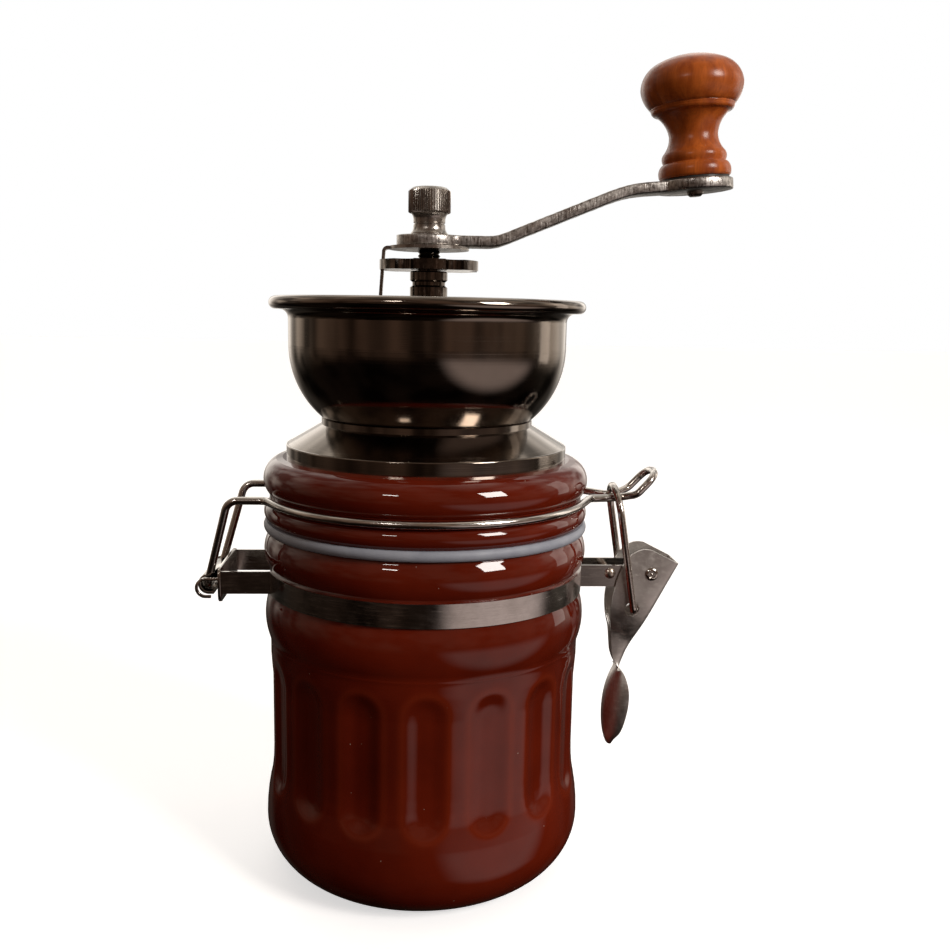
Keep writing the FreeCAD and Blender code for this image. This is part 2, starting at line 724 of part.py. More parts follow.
def make_screws():
    """The two bridge screws, and the three long screws that clamp hopper, lid ring and housing."""
    low = size("bowl_low").value
    deck = low + size("hopper_sheet").value + size("bridge_sheet").value
    reach = size("bridge_foot").value - 2.4
    bridge = [screw(0, reach * side, low, deck, deck, deck + 1.6) for side in (1, -1)]
    fixed_shape("bridge_screws", Part.makeCompound(bridge))
    circle_radius, under = size("screw_circle").value, size("spigot_low").value - 1.6
    long_screws = []
    for index in range(3):
        angle = math.radians(120 * index)
        long_screws.append(screw(circle_radius * math.cos(angle), circle_radius * math.sin(angle),
                                 under, size("bearing_low").value, under - 1.8, under))
    fixed_shape("housing_screws", Part.makeCompound(long_screws))


def make_bridge_bushing():
    radius, spigot, bore = size("bushing_radius"), size("spigot_bush"), size("bearing_bore")
    seat, top = size("bridge_top"), size("bushing_top")
    body = new_body("bridge_bushing")
    revolve(body, [
        (bore, seat - 3.4),
        (spigot, seat - 3.4),
        (spigot, seat),
        (radius, seat),
        (radius, top - 4.9),
        (radius - 0.7, top - 4.3),
        (radius - 0.7, top - 3.3),
        (radius, top - 2.7),
        (radius, top - 0.4),
        (radius - 0.4, top),
        (bore, top),
    ])


def make_throat_bearing():
    """A hub with three arms that rest on the hopper base's floor ring."""
    low, bore, hub = size("bearing_low"), size("bearing_bore"), as_length(7.2)
    body = new_body("throat_bearing")
    revolve(body, [(bore, low), (hub, low), (hub, low + 5), (bore, low + 5)])
    arm = new_sketch(body, "XY_Plane", low)
    outline(arm, [(hub - 1, -3), (size("throat_radius") - 3, -3), (size("throat_radius") - 3, 3), (hub - 1, 3)])
    # the arms point between the long screws
    arm.AttachmentOffset = Placement(Vector(0, 0, low.value), Rotation(Vector(0, 0, 1), 60))
    arm.setExpression("AttachmentOffset.Base.z", low.text)
    repeat_round(body, pad(body, arm, 2), 3)


# ---------------------------------------------------------------------------------------------------
# Burr set
# ---------------------------------------------------------------------------------------------------
def make_burr_housing():
    """The cup under the lid ring that holds the outer burr."""
    outer, bore, low = size("housing_radius"), size("housing_bore"), size("housing_low")
    deck = size("spigot_low")
    body = new_body("burr_housing")
    revolve(body, [
        (bore - 1.8, low),
        (outer, low),
        (outer, deck - 1.6),
        (size("flange_radius"), deck - 1.6),
        (size("flange_radius"), deck),
        (outer, deck),
        (outer, size("collar_top")),
        (bore, size("collar_top")),
        (bore, size("burr_low")),
        (bore - 1.8, size("burr_low")),
    ])
    screw_holes(body, deck - 2.6, 4)


def make_outer_burr():
    bore, low, top = size("housing_bore"), size("burr_low"), size("burr_top")
    body = new_body("outer_burr")
    revolve(body, [
        (size("cone_radius") + 0.8, low),
        (bore, low),
        (bore, top),
        (size("cone_radius") - 3.2, top),
    ])
    tooth = new_sketch(body, "XY_Plane", low)
    outline(tooth, [(16, -0.5), (bore - 2, -0.5), (bore - 2, 0.5), (16, 0.5)])
    cut = pocket(body, tooth, top - low - 6, turn_back=True)
    repeat_round(body, cut, size("groove_count") * 2)


def make_inner_burr():
    """The grooved cone on the shaft: narrow at the feed end and wide at the outlet."""
    low, tip, wide = size("burr_low"), size("cone_tip"), size("cone_radius")
    body = new_body("inner_burr")
    revolve(body, [(size("shaft_radius"), low), (wide, low), (9.0, tip), (size("shaft_radius"), tip)])
    groove = new_sketch(body, "XY_Plane", low)
    outline(groove, [(wide - 5.5, -0.8), (wide + 2, -0.8), (wide + 2, 0.8), (wide - 5.5, 0.8)])
    cut = pocket(body, groove, tip - low, turn_back=True)
    repeat_round(body, cut, size("groove_count"))


def make_burr_nut():
    """The hexagon nut under the inner burr."""
    across = 5.0
    body = new_body("burr_nut")
    sketch = new_sketch(body, "XY_Plane", size("burr_low") - 3.2)
    corner = across / math.cos(math.radians(30))
    outline(sketch, [(corner * math.cos(math.radians(60 * index)), corner * math.sin(math.radians(60 * index)))
                     for index in range(6)])
    circle(sketch, 0, 0, size("shaft_radius"))
    pad(body, sketch, 3.2)


# ---------------------------------------------------------------------------------------------------
# Shaft, adjusting wheel, clip, arm, nut and knob
# ---------------------------------------------------------------------------------------------------
def make_shaft():
    """The shaft: plain below, threaded above. The thread is a row of V rings at its pitch."""
    radius, thread, pitch = size("shaft_radius"), size("thread_radius"), size("thread_pitch")
    step, top = size("shaft_step"), size("shaft_top")
    first_ring = size("wheel_low") + size("wheel_sheet") + 0.1
    rings, thread_depth = 3, 0.55
    body = new_body("shaft")
    corners = [
        (0, size("shaft_low")),
        (radius - 0.5, size("shaft_low")),
        (radius, size("shaft_low") + 0.5),
        (radius, step),
        (thread, step),
        (thread, first_ring),
    ]
    for index in range(rings):
        low = first_ring + pitch * index
        corners += [(thread - thread_depth, low + pitch / 2), (thread, low + pitch)]
    revolve(body, corners + [(thread, top), (0, top)])


def make_adjusting_nut():
    """The six-lobed wheel: a disc with six round notches."""
    body = new_body("adjusting_nut")
    disc = new_sketch(body, "XY_Plane", size("wheel_low"))
    circle(disc, 0, 0, size("wheel_radius"))
    circle(disc, 0, 0, size("wheel_bore"))
    pad(body, disc, size("wheel_sheet"))
    notch = new_sketch(body, "XY_Plane", size("wheel_low"))
    circle(notch, -size("notch_centre"), 0, size("notch_radius"))
    cut = pocket(body, notch, size("wheel_sheet"), turn_back=True)
    repeat_round(body, cut, 6)


def make_lock_clip():
    """The disc under the arm, with a bent leg that drops through a notch of the wheel."""
    low, thick, leg = size("clip_low"), size("clip_sheet"), size("clip_leg")
    body = new_body("lock_clip")
    disc = new_sketch(body, "XY_Plane", low)
    circle(disc, 0, 0, size("clip_radius"))
    circle(disc, 0, 0, size("thread_radius"))
    pad(body, disc, thick)
    side = new_sketch(body, "XZ_Plane")
    foot = size("clip_leg_low")
    outline(side, [
        (-11, low),
        (-11, low + thick),
        (-12.6, low + thick),
        (-14.4, low + thick - 1.8, 1.8),
        (-15.4, foot),
        (-14.4, foot),
        (-13.4, low + thick - 1.8),
        (-12.6, low, -0.8),
    ])
    pad(body, side, leg, symmetric=True)


def make_crank_arm():
    """The flat bar: bent from the side, with a round hub and a round pad seen from above."""
    thick, bend_x = size("arm_sheet") / 2, size("arm_bend")
    level, rise_x, rise = size("arm_level"), size("arm_rise"), size("arm_rise_level")
    end_x = size("knob_reach") + size("arm_pad") + 2
    slope = math.tan(math.radians(SIZES["knob_tilt"]))
    end_level = size("knob_level") + (end_x - size("knob_reach")) * slope
    # a bent sheet's faces stay parallel, so the corners shift along the bend's bisector
    climb = math.atan2(SIZES["arm_rise_level"] - SIZES["arm_level"], SIZES["arm_rise"] - SIZES["arm_bend"])
    first = thick * math.tan(climb / 2)
    second_angle = (climb - math.radians(SIZES["knob_tilt"])) / 2
    mean_angle = (climb + math.radians(SIZES["knob_tilt"])) / 2
    shift_x = thick * (math.sin(mean_angle) / math.cos(second_angle))
    shift_z = thick * (math.cos(mean_angle) / math.cos(second_angle))
    body = new_body("crank_arm")
    side = new_sketch(body, "XZ_Plane")
    outline(side, [
        (-12, level - thick),
        (bend_x + first, level - thick),
        (rise_x + shift_x, rise - shift_z),
        (end_x, end_level - thick),
        (end_x, end_level + thick),
        (rise_x - shift_x, rise + shift_z),
        (bend_x - first, level + thick),
        (-12, level + thick),
    ])
    pad(body, side, 30, symmetric=True)
    # from above, everything outside the hub, bar and pad is cut away
    half, hub, pad_radius = size("arm_width") / 2, size("arm_hub"), size("arm_pad")
    pad_x = size("knob_reach")
    plan = new_sketch(body, "XY_Plane", level - 10)
    outline(plan, [(-30, -30), (130, -30), (130, 30), (-30, 30)])
    hub_side, pad_side = root_of_squares(hub, half), pad_x - root_of_squares(pad_radius, half)
    outline(plan, [
        (pad_side, -half),
        (pad_x, -pad_radius, pad_radius),
        (pad_x + pad_radius, 0, pad_radius),
        (pad_x, pad_radius, pad_radius),
        (pad_side, half, pad_radius),
        (hub_side, half),
        (0, hub, hub),
        (-hub, 0, hub),
        (0, -hub, hub),
        (hub_side, -half, hub),
    ])
    pocket(body, plan, 60, turn_back=True)
    bore = new_sketch(body, "XY_Plane", level - 10)
    circle(bore, 0, 0, size("thread_radius"))
    pocket(body, bore, 20, turn_back=True)


def make_thumb_nut():
    """The thumb nut: a knurled head, a turned neck and a small flared foot."""
    low, top, head = size("arm_level") + size("arm_sheet") / 2, size("nut_top"), size("nut_radius")
    neck, bore = size("nut_neck"), size("thread_radius")
    body = new_body("thumb_nut")
    revolve(body, [
        (bore, low),
        (head - 0.8, low),
        (head - 0.8, low + 0.7),
        (neck, low + 2.6, -3.0),
        (neck, low + 5.0),
        (head, low + 7.2, -3.0),
        (head, top - 0.8),
        (head - 0.8, top, 0.8),
        (0, top),
        (0, size("shaft_top")),
        (bore, size("shaft_top")),
    ])
    knurl = new_sketch(body, "XY_Plane", low + 7.0)
    outline(knurl, [(head - 0.35, 0), (head + 0.4, -0.42), (head + 0.4, 0.42)])
    cut = pocket(body, knurl, top - low, turn_back=True)
    repeat_round(body, cut, 40)


def stand_on_arm(body, lift):
    """Stands an upright body on the tilted end of the arm, lifted along the knob's axis."""
    tilt = SIZES["knob_tilt"]
    offset = lift.value
    lean, rise = math.sin(math.radians(tilt)), math.cos(math.radians(tilt))
    body.Placement = Placement(
        Vector(SIZES["knob_reach"] - offset * lean, 0, SIZES["knob_level"] + offset * rise),
        Rotation(Vector(0, 1, 0), -tilt))
    body.setExpression("Placement.Base.x", f"Sizes.knob_reach - ({lift.text}) * {lean:.6f}")
    body.setExpression("Placement.Base.z", f"Sizes.knob_level + ({lift.text}) * {rise:.6f}")


def make_knob():
    """The turned wooden knob: a mushroom head, a waist, a ring and a flared foot, with a blind bore."""
    head, waist, foot, tall = size("knob_head"), size("knob_waist"), size("knob_foot"), size("knob_tall")
    bore = size("knob_bore")
    body = new_body("knob")
    revolve(body, [
        (bore, 0),
        (foot - 0.6, 0),
        (foot, 1.0, 1.2),
        (foot - 0.2, 3.2, 4.0),
        (foot - 1.2, 4.5, 3.0),
        (foot - 1.5, 5.0),
        (foot - 1.6, 7.6, 2.6),
        (waist, 12.8, -7.5),
        (waist + 4.4, 20.0, -9.5),
        (waist + 4.9, 20.6),
        (head, 27.0, 9.0),
        (head - 4.5, 33.8, 8.0),
        (1.0, tall, 24.0),
        (0, tall),
        (0, 28.0),
        (bore, 27.0),
    ])
    stand_on_arm(body, size("arm_sheet") / 2 + size("washer_sheet") + 0.15)


def make_knob_washer():
    """The dark washer between the arm and the knob."""
    body = new_body("knob_washer")
    radius, pin, thick = size("washer_radius"), size("pin_radius"), size("washer_sheet")
    revolve(body, [(pin, 0), (radius, 0), (radius, thick), (pin, thick)])
    stand_on_arm(body, size("arm_sheet") / 2)


def make_knob_pin():
    """The pin through the arm, with a rivet head below and a turned end inside the knob."""
    radius, sheet_half = size("pin_radius"), size("arm_sheet") / 2
    body = new_body("knob_pin")
    revolve(body, [
        (0, -(sheet_half + 1.5)),
        (1.7, -(sheet_half + 1.5)),
        (2.5, -(sheet_half + 0.8)),
        (2.5, -(sheet_half + 0.02)),
        (radius, -(sheet_half + 0.02)),
        (radius, 27.4),
        (0, 27.4),
    ])
    stand_on_arm(body, as_length(0.0))
    arm = doc.getObject("crank_arm")
    tilt = math.radians(SIZES["knob_tilt"])
    hole = arm.newObject("Sketcher::SketchObject", "pin_hole")
    support = next(item for item in arm.Origin.OriginFeatures if item.Role == "XY_Plane")
    hole.AttachmentSupport = [(support, "")]
    hole.MapMode = "FlatFace"
    below = 10.0
    hole.AttachmentOffset = Placement(
        Vector(SIZES["knob_reach"] + below * math.sin(tilt), 0, SIZES["knob_level"] - below * math.cos(tilt)),
        Rotation(Vector(0, 1, 0), -SIZES["knob_tilt"]))
    circle(hole, 0, 0, radius)
    pocket(arm, hole, 20, turn_back=True)


# ---------------------------------------------------------------------------------------------------
# Build, check and write
# ---------------------------------------------------------------------------------------------------
make_jar()
make_clamp_band("clamp_band_front", -1)
make_clamp_band("clamp_band_rear", 1)
make_hinge_plate()
make_rivet("band_tie_rivet", size("tie_reach"), size("tie_radius"),
           size("ear_offset") + size("band_sheet") / 2, as_length(1.8))
make_rivet("lever_pivot_rivet", size("pivot_reach"), size("pivot_radius"),
           size("lever_half") + 0.05, as_length(2.1))
make_latch_lever()
make_bail_wire()
make_latch_link()
make_lid_collar()
make_lid_gasket()
make_hopper_base()
make_hopper_bowl()
make_shaft_bridge()
make_screws()
make_bridge_bushing()
make_throat_bearing()
make_burr_housing()
make_outer_burr()
make_inner_burr()
make_burr_nut()
make_burr_spring()
make_shaft()
make_adjusting_nut()
make_lock_clip()
make_crank_arm()
make_thumb_nut()
make_knob()
make_knob_washer()
make_knob_pin()
doc.recompute()

for item in doc.Objects:
    if "Invalid" in item.State or "Error" in item.State:
        raise ValueError(f"{item.Label} did not build")
nodes = [item for item in doc.Objects
         if item.TypeId == "PartDesign::Body" or (item.TypeId == "Part::Feature" and item.Label == item.Name)]
for node in nodes:
    if node.Shape.isNull() or not node.Shape.isValid() or node.Shape.Volume <= 0:
        raise ValueError(f"{node.Label} has no valid shape")
    node.Shape.exportStep(f"parts/{node.Label}.step")
print(f"wrote {len(nodes)} parts")
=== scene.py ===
# %% [markdown]
# # A hand crank coffee grinder
#
# This lesson dresses the grinder's measured parts: a glazed jar with a swing-top lid, a dark
# nickel hopper with a burr mill under it, and a crank with a wooden knob. The measured parts are
# loaded first and are never moved. Some of them only get a better finish. Others are built again
# here with softer and richer forms, in the same place and at the same size.

# %% Load the measured parts
import json
import math

import bmesh
import bpy
from mathutils import Matrix, Vector


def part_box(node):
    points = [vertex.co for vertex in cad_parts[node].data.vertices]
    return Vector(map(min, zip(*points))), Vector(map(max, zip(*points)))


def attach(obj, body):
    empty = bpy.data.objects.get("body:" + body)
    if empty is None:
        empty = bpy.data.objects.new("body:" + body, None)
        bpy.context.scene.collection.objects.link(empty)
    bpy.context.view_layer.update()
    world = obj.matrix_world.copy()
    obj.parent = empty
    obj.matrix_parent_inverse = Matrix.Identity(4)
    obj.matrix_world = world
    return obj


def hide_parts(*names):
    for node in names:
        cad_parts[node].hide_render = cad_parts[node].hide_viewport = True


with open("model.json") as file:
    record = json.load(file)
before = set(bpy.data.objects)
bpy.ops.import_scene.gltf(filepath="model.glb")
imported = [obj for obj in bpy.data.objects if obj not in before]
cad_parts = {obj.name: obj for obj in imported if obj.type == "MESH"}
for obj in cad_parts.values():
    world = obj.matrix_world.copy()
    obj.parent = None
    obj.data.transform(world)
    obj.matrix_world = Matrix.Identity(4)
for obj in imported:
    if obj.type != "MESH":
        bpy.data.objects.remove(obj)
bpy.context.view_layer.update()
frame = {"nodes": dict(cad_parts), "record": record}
nodes = frame["nodes"]
mm = 0.001

# %% [markdown]
# ## The camera
#
# The camera stands a little above the hopper's rim and looks slightly down. Blender's camera
# looks along its own -Z axis, so its matrix is built from three directions at right angles: to
# the right, up, and backwards. A small roll is mixed into the first two.

# %% Camera
CAMERA_DISTANCE = 0.3153
CAMERA_HEIGHT = 0.1767
CAMERA_SIDE = math.radians(0.8)
CAMERA_YAW = 0.049 + CAMERA_SIDE
CAMERA_PITCH = 0.158
CAMERA_ROLL = 0.019
SENSOR_WIDTH = 36.0
FOCAL_LENGTH = 37.9


def placed(name, data):
    """A new object in the scene, made of that data."""
    made = bpy.data.objects.new(name, data)
    bpy.context.scene.collection.objects.link(made)
    return made


def aim_camera():
    """Makes the camera from its place, heading, pitch and roll."""
    data = bpy.data.cameras.new("main_camera")
    data.sensor_width = SENSOR_WIDTH
    data.lens = FOCAL_LENGTH
    data.clip_start = 0.01
    camera = placed("main_camera", data)
    forward = Vector((
        math.sin(CAMERA_YAW) * math.cos(CAMERA_PITCH),
        math.cos(CAMERA_YAW) * math.cos(CAMERA_PITCH),
        -math.sin(CAMERA_PITCH),
    ))
    level_right = Vector((math.cos(CAMERA_YAW), -math.sin(CAMERA_YAW), 0))
    level_up = level_right.cross(forward)
    right = level_right * math.cos(CAMERA_ROLL) + level_up * math.sin(CAMERA_ROLL)
    up = level_up * math.cos(CAMERA_ROLL) - level_right * math.sin(CAMERA_ROLL)
    turn = Matrix((right, up, -forward)).transposed().to_4x4()
    place = Vector((
        -CAMERA_DISTANCE * math.sin(CAMERA_SIDE),
        -CAMERA_DISTANCE * math.cos(CAMERA_SIDE),
        CAMERA_HEIGHT,
    ))
    camera.matrix_world = Matrix.Translation(place) @ turn
    bpy.context.scene.camera = camera
    return camera


camera = aim_camera()
print("camera at", [round(v, 3) for v in camera.matrix_world.translation])

# %% [markdown]
# ## Soft light
#
# Shiny glaze and mirror metal show the room around them. They look deep and dark when the room
# in front of them is dark, and their edges look pale when the room behind them is bright. So the
# world is a soft gradient: dim in front, bright behind. A window-like light stands at the front
# right, a small one at the front left, and a tall, narrow one at the right brightens the metal's
# right-hand edges. All three look at the middle of the grinder.

# %% Lights
TARGET = Vector((0, 0, 0.12))


def softbox(name, direction, distance, width, height, power, tint):
    """A rectangular light of that power in watts, which looks at the grinder from that direction."""
    data = bpy.data.lights.new(name, "AREA")
    data.shape = "RECTANGLE"
    data.size = width
    data.size_y = height
    data.energy = power
    data.color = tint
    light = placed(name, data)
    towards = Vector(direction).normalized()
    light.location = TARGET + towards * distance
    light.rotation_euler = towards.to_track_quat("Z", "Y").to_euler()
    return light


WARM_WHITE = (1.0, 0.95, 0.90)
WALL_WHITE = (1.0, 0.93, 0.86)
lights = [
    softbox("window_light", (0.74, -0.67, 0.52), 1.1, 0.30, 0.40, 8.5, WARM_WHITE),
    softbox("left_strip", (-0.44, -0.90, 0.55), 1.2, 0.20, 0.05, 0.8, WARM_WHITE),
    softbox("right_wall", (0.98, 0.30, 0.20), 1.2, 0.3, 0.8, 0.85, WALL_WHITE),
]
print("lights:", [light.name for light in lights])

# %% [markdown]
# The world's colour follows the direction that a ray leaves in: it leans from a dark room in
# front and below to a pale one behind and above, and a slow noise makes it uneven, as a real room
# is. Low at the front right stands a faint pink card, which the bowl and the flutes reflect. What the
# camera sees directly is a plain white backdrop, so a Light Path node chooses between the two.

# %% World
def node(tree, kind, inputs=None, **settings):
    """Adds a node. An input's value is either a plain value or another node's output."""
    made = tree.nodes.new(kind)
    for name, value in settings.items():
        setattr(made, name, value)
    for key, value in (inputs or {}).items():
        if isinstance(value, bpy.types.NodeSocket):
            tree.links.new(value, made.inputs[key])
        else:
            made.inputs[key].default_value = value
    return made


def calc(tree, operation, first, second=0.0, third=0.0):
    """One Math node's output."""
    return node(tree, "ShaderNodeMath", {0: first, 1: second, 2: third}, operation=operation).outputs[0]


CARD_HEADING = math.radians(52)
CARD_LIGHT = 0.55
CARD_TINT = (1.0, 0.82, 0.77, 1)
BACKDROP = (1, 1, 1, 1)
ROOM_COLOURS = (
    # position along the lean from front to back, colour
    (0.25, (0.056, 0.034, 0.024, 1)),
    (0.52, (0.066, 0.046, 0.034, 1)),
    (0.74, (0.26, 0.225, 0.19, 1)),
    (1.0, (0.62, 0.59, 0.55, 1)),
)


def ranged(tree, value, low, high, new_low, new_high, kind="LINEAR"):
    """Maps low..high to new_low..new_high, clamped, with a straight or a smooth step."""
    return node(tree, "ShaderNodeMapRange", {
        "Value": value, "From Min": low, "From Max": high, "To Min": new_low, "To Max": new_high},
        interpolation_type=kind).outputs["Result"]


def room_dome(tree, direction, split):
    """The uneven room, dark in front and pale behind, as a background shader."""
    level = calc(
        tree, "MULTIPLY_ADD", split.outputs["X"], 0.12, calc(tree, "MULTIPLY", split.outputs["Y"], 0.8))
    lean = calc(tree, "MULTIPLY_ADD", split.outputs["Z"], 0.5, level)
    room = node(tree, "ShaderNodeValToRGB", {"Fac": calc(tree, "MULTIPLY_ADD", lean, 0.5, 0.5)})
    ramp = room.color_ramp
    first, *between, last = ROOM_COLOURS
    ramp.elements[0].position, ramp.elements[0].color = first
    ramp.elements[1].position, ramp.elements[1].color = last
    for position, colour in between:
        ramp.elements.new(position).color = colour
    shapes = node(tree, "ShaderNodeTexNoise", {"Vector": direction, "Scale": 2.6, "Detail": 2.0})
    uneven = ranged(tree, shapes.outputs["Fac"], 0.38, 0.62, 0.35, 2.1)
    above_floor = ranged(tree, split.outputs["Z"], -0.30, 0.02, 0.12, 1.7, "SMOOTHSTEP")
    strength = calc(tree, "MULTIPLY", uneven, above_floor)
    return node(tree, "ShaderNodeBackground", {"Color": room.outputs["Color"], "Strength": strength})


def pink_card(tree, split):
    """A soft-edged card, low on the right, as a background shader."""
    card_x = calc(tree, "MULTIPLY", split.outputs["X"], math.sin(CARD_HEADING))
    facing = calc(tree, "MULTIPLY_ADD", split.outputs["Y"], -math.cos(CARD_HEADING), card_x)
    card = ranged(tree, facing, 0.66, 0.84, 0.0, CARD_LIGHT, "SMOOTHSTEP")
    below = ranged(tree, split.outputs["Z"], -0.10, -0.30, 0.0, 1.0, "SMOOTHSTEP")
    share = calc(tree, "MULTIPLY", card, below)
    return node(tree, "ShaderNodeBackground", {"Color": CARD_TINT, "Strength": share})


def build_world():
    """The white backdrop for the eye, and the room and the card for light and reflections."""
    world = bpy.data.worlds.new("studio")
    world.use_nodes = True
    tree = world.node_tree
    tree.nodes.clear()
    direction = node(tree, "ShaderNodeTexCoord").outputs["Generated"]
    split = node(tree, "ShaderNodeSeparateXYZ", {0: direction})
    dome = room_dome(tree, direction, split)
    card = pink_card(tree, split)
    felt = node(tree, "ShaderNodeAddShader", {0: dome.outputs[0], 1: card.outputs[0]})
    seen = node(tree, "ShaderNodeBackground", {"Color": BACKDROP, "Strength": 1.0})
    path = node(tree, "ShaderNodeLightPath")
    both = node(tree, "ShaderNodeMixShader", {
        0: path.outputs["Is Camera Ray"], 1: felt.outputs[0], 2: seen.outputs[0]})
    node(tree, "ShaderNodeOutputWorld", {"Surface": both.outputs[0]})
    bpy.context.scene.world = world
    return world


world = build_world()
bpy.context.scene.view_settings.view_transform = "Standard"
print("world nodes:", len(world.node_tree.nodes))

# %% [markdown]
# ## Effects that several finishes share
#
# Real finishes are never even. Three small node groups give every finish its unevenness: one
# makes slow patches for gloss or colour, one makes fine scratches along a direction, and one
# scatters tiny specks. Each group puts out only masks, so each material stays in charge of its
# own shader.

# %% Node groups
def start_group(name, inputs, outputs):
    """An empty shader node group with named number or vector inputs and number outputs."""
    tree = bpy.data.node_groups.new(name, "ShaderNodeTree")
    for label, default in inputs.items():
        kind = "NodeSocketVector" if default is None else "NodeSocketFloat"
        made = tree.interface.new_socket(name=label, in_out="INPUT", socket_type=kind)
        if default is not None:
            made.default_value = default
    for label in outputs:
        tree.interface.new_socket(name=label, in_out="OUTPUT", socket_type="NodeSocketFloat")
    return tree, tree.nodes.new("NodeGroupInput").outputs


def end_group(tree, outputs):
    """Gives the group its outputs and returns it."""
    node(tree, "NodeGroupOutput", outputs)
    return tree


def build_patches():
    """Slow, cloudy patches between Low and High."""
    tree, given = start_group(
        "Cloudy Patches", {"Vector": None, "Scale": 60.0, "Low": 0.2, "High": 0.4}, ["Value"])
    cloud = node(tree, "ShaderNodeTexNoise", {
        "Vector": given["Vector"], "Scale": given["Scale"], "Detail": 4.0, "Roughness": 0.6})
    value = ranged(tree, cloud.outputs["Fac"], 0.3, 0.7, given["Low"], given["High"])
    return end_group(tree, {"Value": value})


def build_scratches():
    """Hair-fine scratches. The vector is already squeezed along the direction they run in."""
    tree, given = start_group(
        "Fine Scratches", {"Vector": None, "Scale": 900.0, "Share": 0.35}, ["Mask", "Height"])
    hair = node(tree, "ShaderNodeTexNoise", {
        "Vector": given["Vector"], "Scale": given["Scale"], "Detail": 3.0, "Roughness": 0.7})
    edge = calc(tree, "SUBTRACT", 0.72, calc(tree, "MULTIPLY", given["Share"], 0.35))
    mask = ranged(tree, hair.outputs["Fac"], edge, 0.78, 0.0, 1.0)
    return end_group(tree, {"Mask": mask, "Height": hair.outputs["Fac"]})


def build_specks():
    """Tiny round specks, such as dust or pinholes."""
    tree, given = start_group("Tiny Specks", {"Vector": None, "Scale": 400.0, "Size": 0.16}, ["Mask"])
    cells = node(tree, "ShaderNodeTexVoronoi", {"Vector": given["Vector"], "Scale": given["Scale"]})
    chosen = node(tree, "ShaderNodeSeparateXYZ", {0: cells.outputs["Color"]})
    core = calc(tree, "MULTIPLY", given["Size"], 0.6)
    near = ranged(tree, cells.outputs["Distance"], given["Size"], core, 0.0, 1.0)
    rare = calc(tree, "GREATER_THAN", chosen.outputs["X"], 0.86)
    return end_group(tree, {"Mask": calc(tree, "MULTIPLY", near, rare)})


PATCHES = build_patches()
SCRATCHES = build_scratches()
SPECKS = build_specks()
print("shared groups:", PATCHES.name, "-", SCRATCHES.name, "-", SPECKS.name)

# %% [markdown]
# Every material starts the same way: a Principled BSDF, and Object coordinates in metres. An
# object's own origin is the centre of the jar's foot, so a pattern stays on its piece when the
# piece moves.

# %% Material helpers
def start_material(name, **sockets):
    """A material with a Principled BSDF whose even values are set straight on its sockets."""
    material = bpy.data.materials.new(name)
    material.use_nodes = True
    tree = material.node_tree
    shader = tree.nodes["Principled BSDF"]
    for label, value in sockets.items():
        shader.inputs[label.replace("_", " ")].default_value = value
    place = tree.nodes.new("ShaderNodeTexCoord").outputs["Object"]
    return material, tree, shader, place


def place_group(tree, group, **inputs):
    """Places a shared group with its own values and returns its outputs."""
    return node(tree, "ShaderNodeGroup", inputs, node_tree=group).outputs


def patches(tree, place, scale, low=0.0, high=1.0):
    """Cloudy patches between low and high."""
    return place_group(tree, PATCHES, Vector=place, Scale=scale, Low=low, High=high)["Value"]


def squeezed(tree, vector, x, y, z):
    """The coordinates stretched by those factors, so that a pattern runs long the other way."""
    return node(tree, "ShaderNodeMapping", {"Vector": vector, "Scale": (x, y, z)}).outputs[0]


def blended(tree, share, first, second):
    """Mixes two colours by a share from 0 to 1."""
    return node(
        tree, "ShaderNodeMix", {0: share, 6: first, 7: second}, data_type="RGBA").outputs[2]


def bumped(tree, height, strength, distance):
    """A bump normal from a height."""
    return node(tree, "ShaderNodeBump", {
        "Height": height, "Strength": strength, "Distance": distance}).outputs["Normal"]


def wire_up(tree, shader, **sockets):
    """Links outputs to the shader's sockets by name."""
    for label, output in sockets.items():
        tree.links.new(output, shader.inputs[label.replace("_", " ")])


print("materials so far:", len(bpy.data.materials))

# %% [markdown]
# ## The red-brown glaze
#
# The jar and the lid ring are stoneware under a thick, glossy iron glaze. The glaze pools in the
# hollows, where it looks darker, and it thins on the lips of the flutes, where it looks redder.
# Its surface is wavy at the scale of a fingertip, which is what makes the reflections swim. A
# Coat layer gives the sharp shine over a slightly rougher body.

# %% Glaze
GLAZE_DEEP = (0.078, 0.0068, 0.0022, 1)
GLAZE_LIT = (0.142, 0.0125, 0.0034, 1)
GLAZE_THIN = (0.280, 0.036, 0.010, 1)
DUST = (0.55, 0.45, 0.38, 1)


def build_glaze():
    """Pools, thin lips, pinholes and waves under a glossy coat."""
    material, tree, shader, place = start_material(
        "brown_glaze", Coat_Roughness=0.03, Coat_IOR=1.52, Specular_IOR_Level=0.0)
    pools = patches(tree, place, 22.0)
    body = blended(tree, pools, GLAZE_DEEP, GLAZE_LIT)
    lip = node(tree, "ShaderNodeAttribute", attribute_name="flute_lip").outputs["Fac"]
    body = blended(tree, calc(tree, "MULTIPLY", lip, 0.20), body, GLAZE_THIN)
    pinholes = place_group(tree, SPECKS, Vector=place, Scale=330.0, Size=0.07)["Mask"]
    body = blended(tree, calc(tree, "MULTIPLY", pinholes, 0.5), body, DUST)
    rough = patches(tree, place, 120.0, 0.10, 0.22)
    waves = node(tree, "ShaderNodeTexNoise", {"Vector": place, "Scale": 55.0, "Detail": 2.0})
    normal = bumped(tree, waves.outputs["Fac"], 0.20, 0.0012)
    coat = patches(tree, place, 200.0, 0.9, 1.0)
    wire_up(tree, shader, Base_Color=body, Roughness=rough, Normal=normal, Coat_Weight=coat)
    return material


brown_glaze = build_glaze()
print("finish:", brown_glaze.name)

# %% [markdown]
# ## The metals
#
# The hopper is spun sheet under dark nickel, close to a mirror, with faint rings from the spinning
# tool. Rings need their own coordinates: the radius and the height, without the angle.

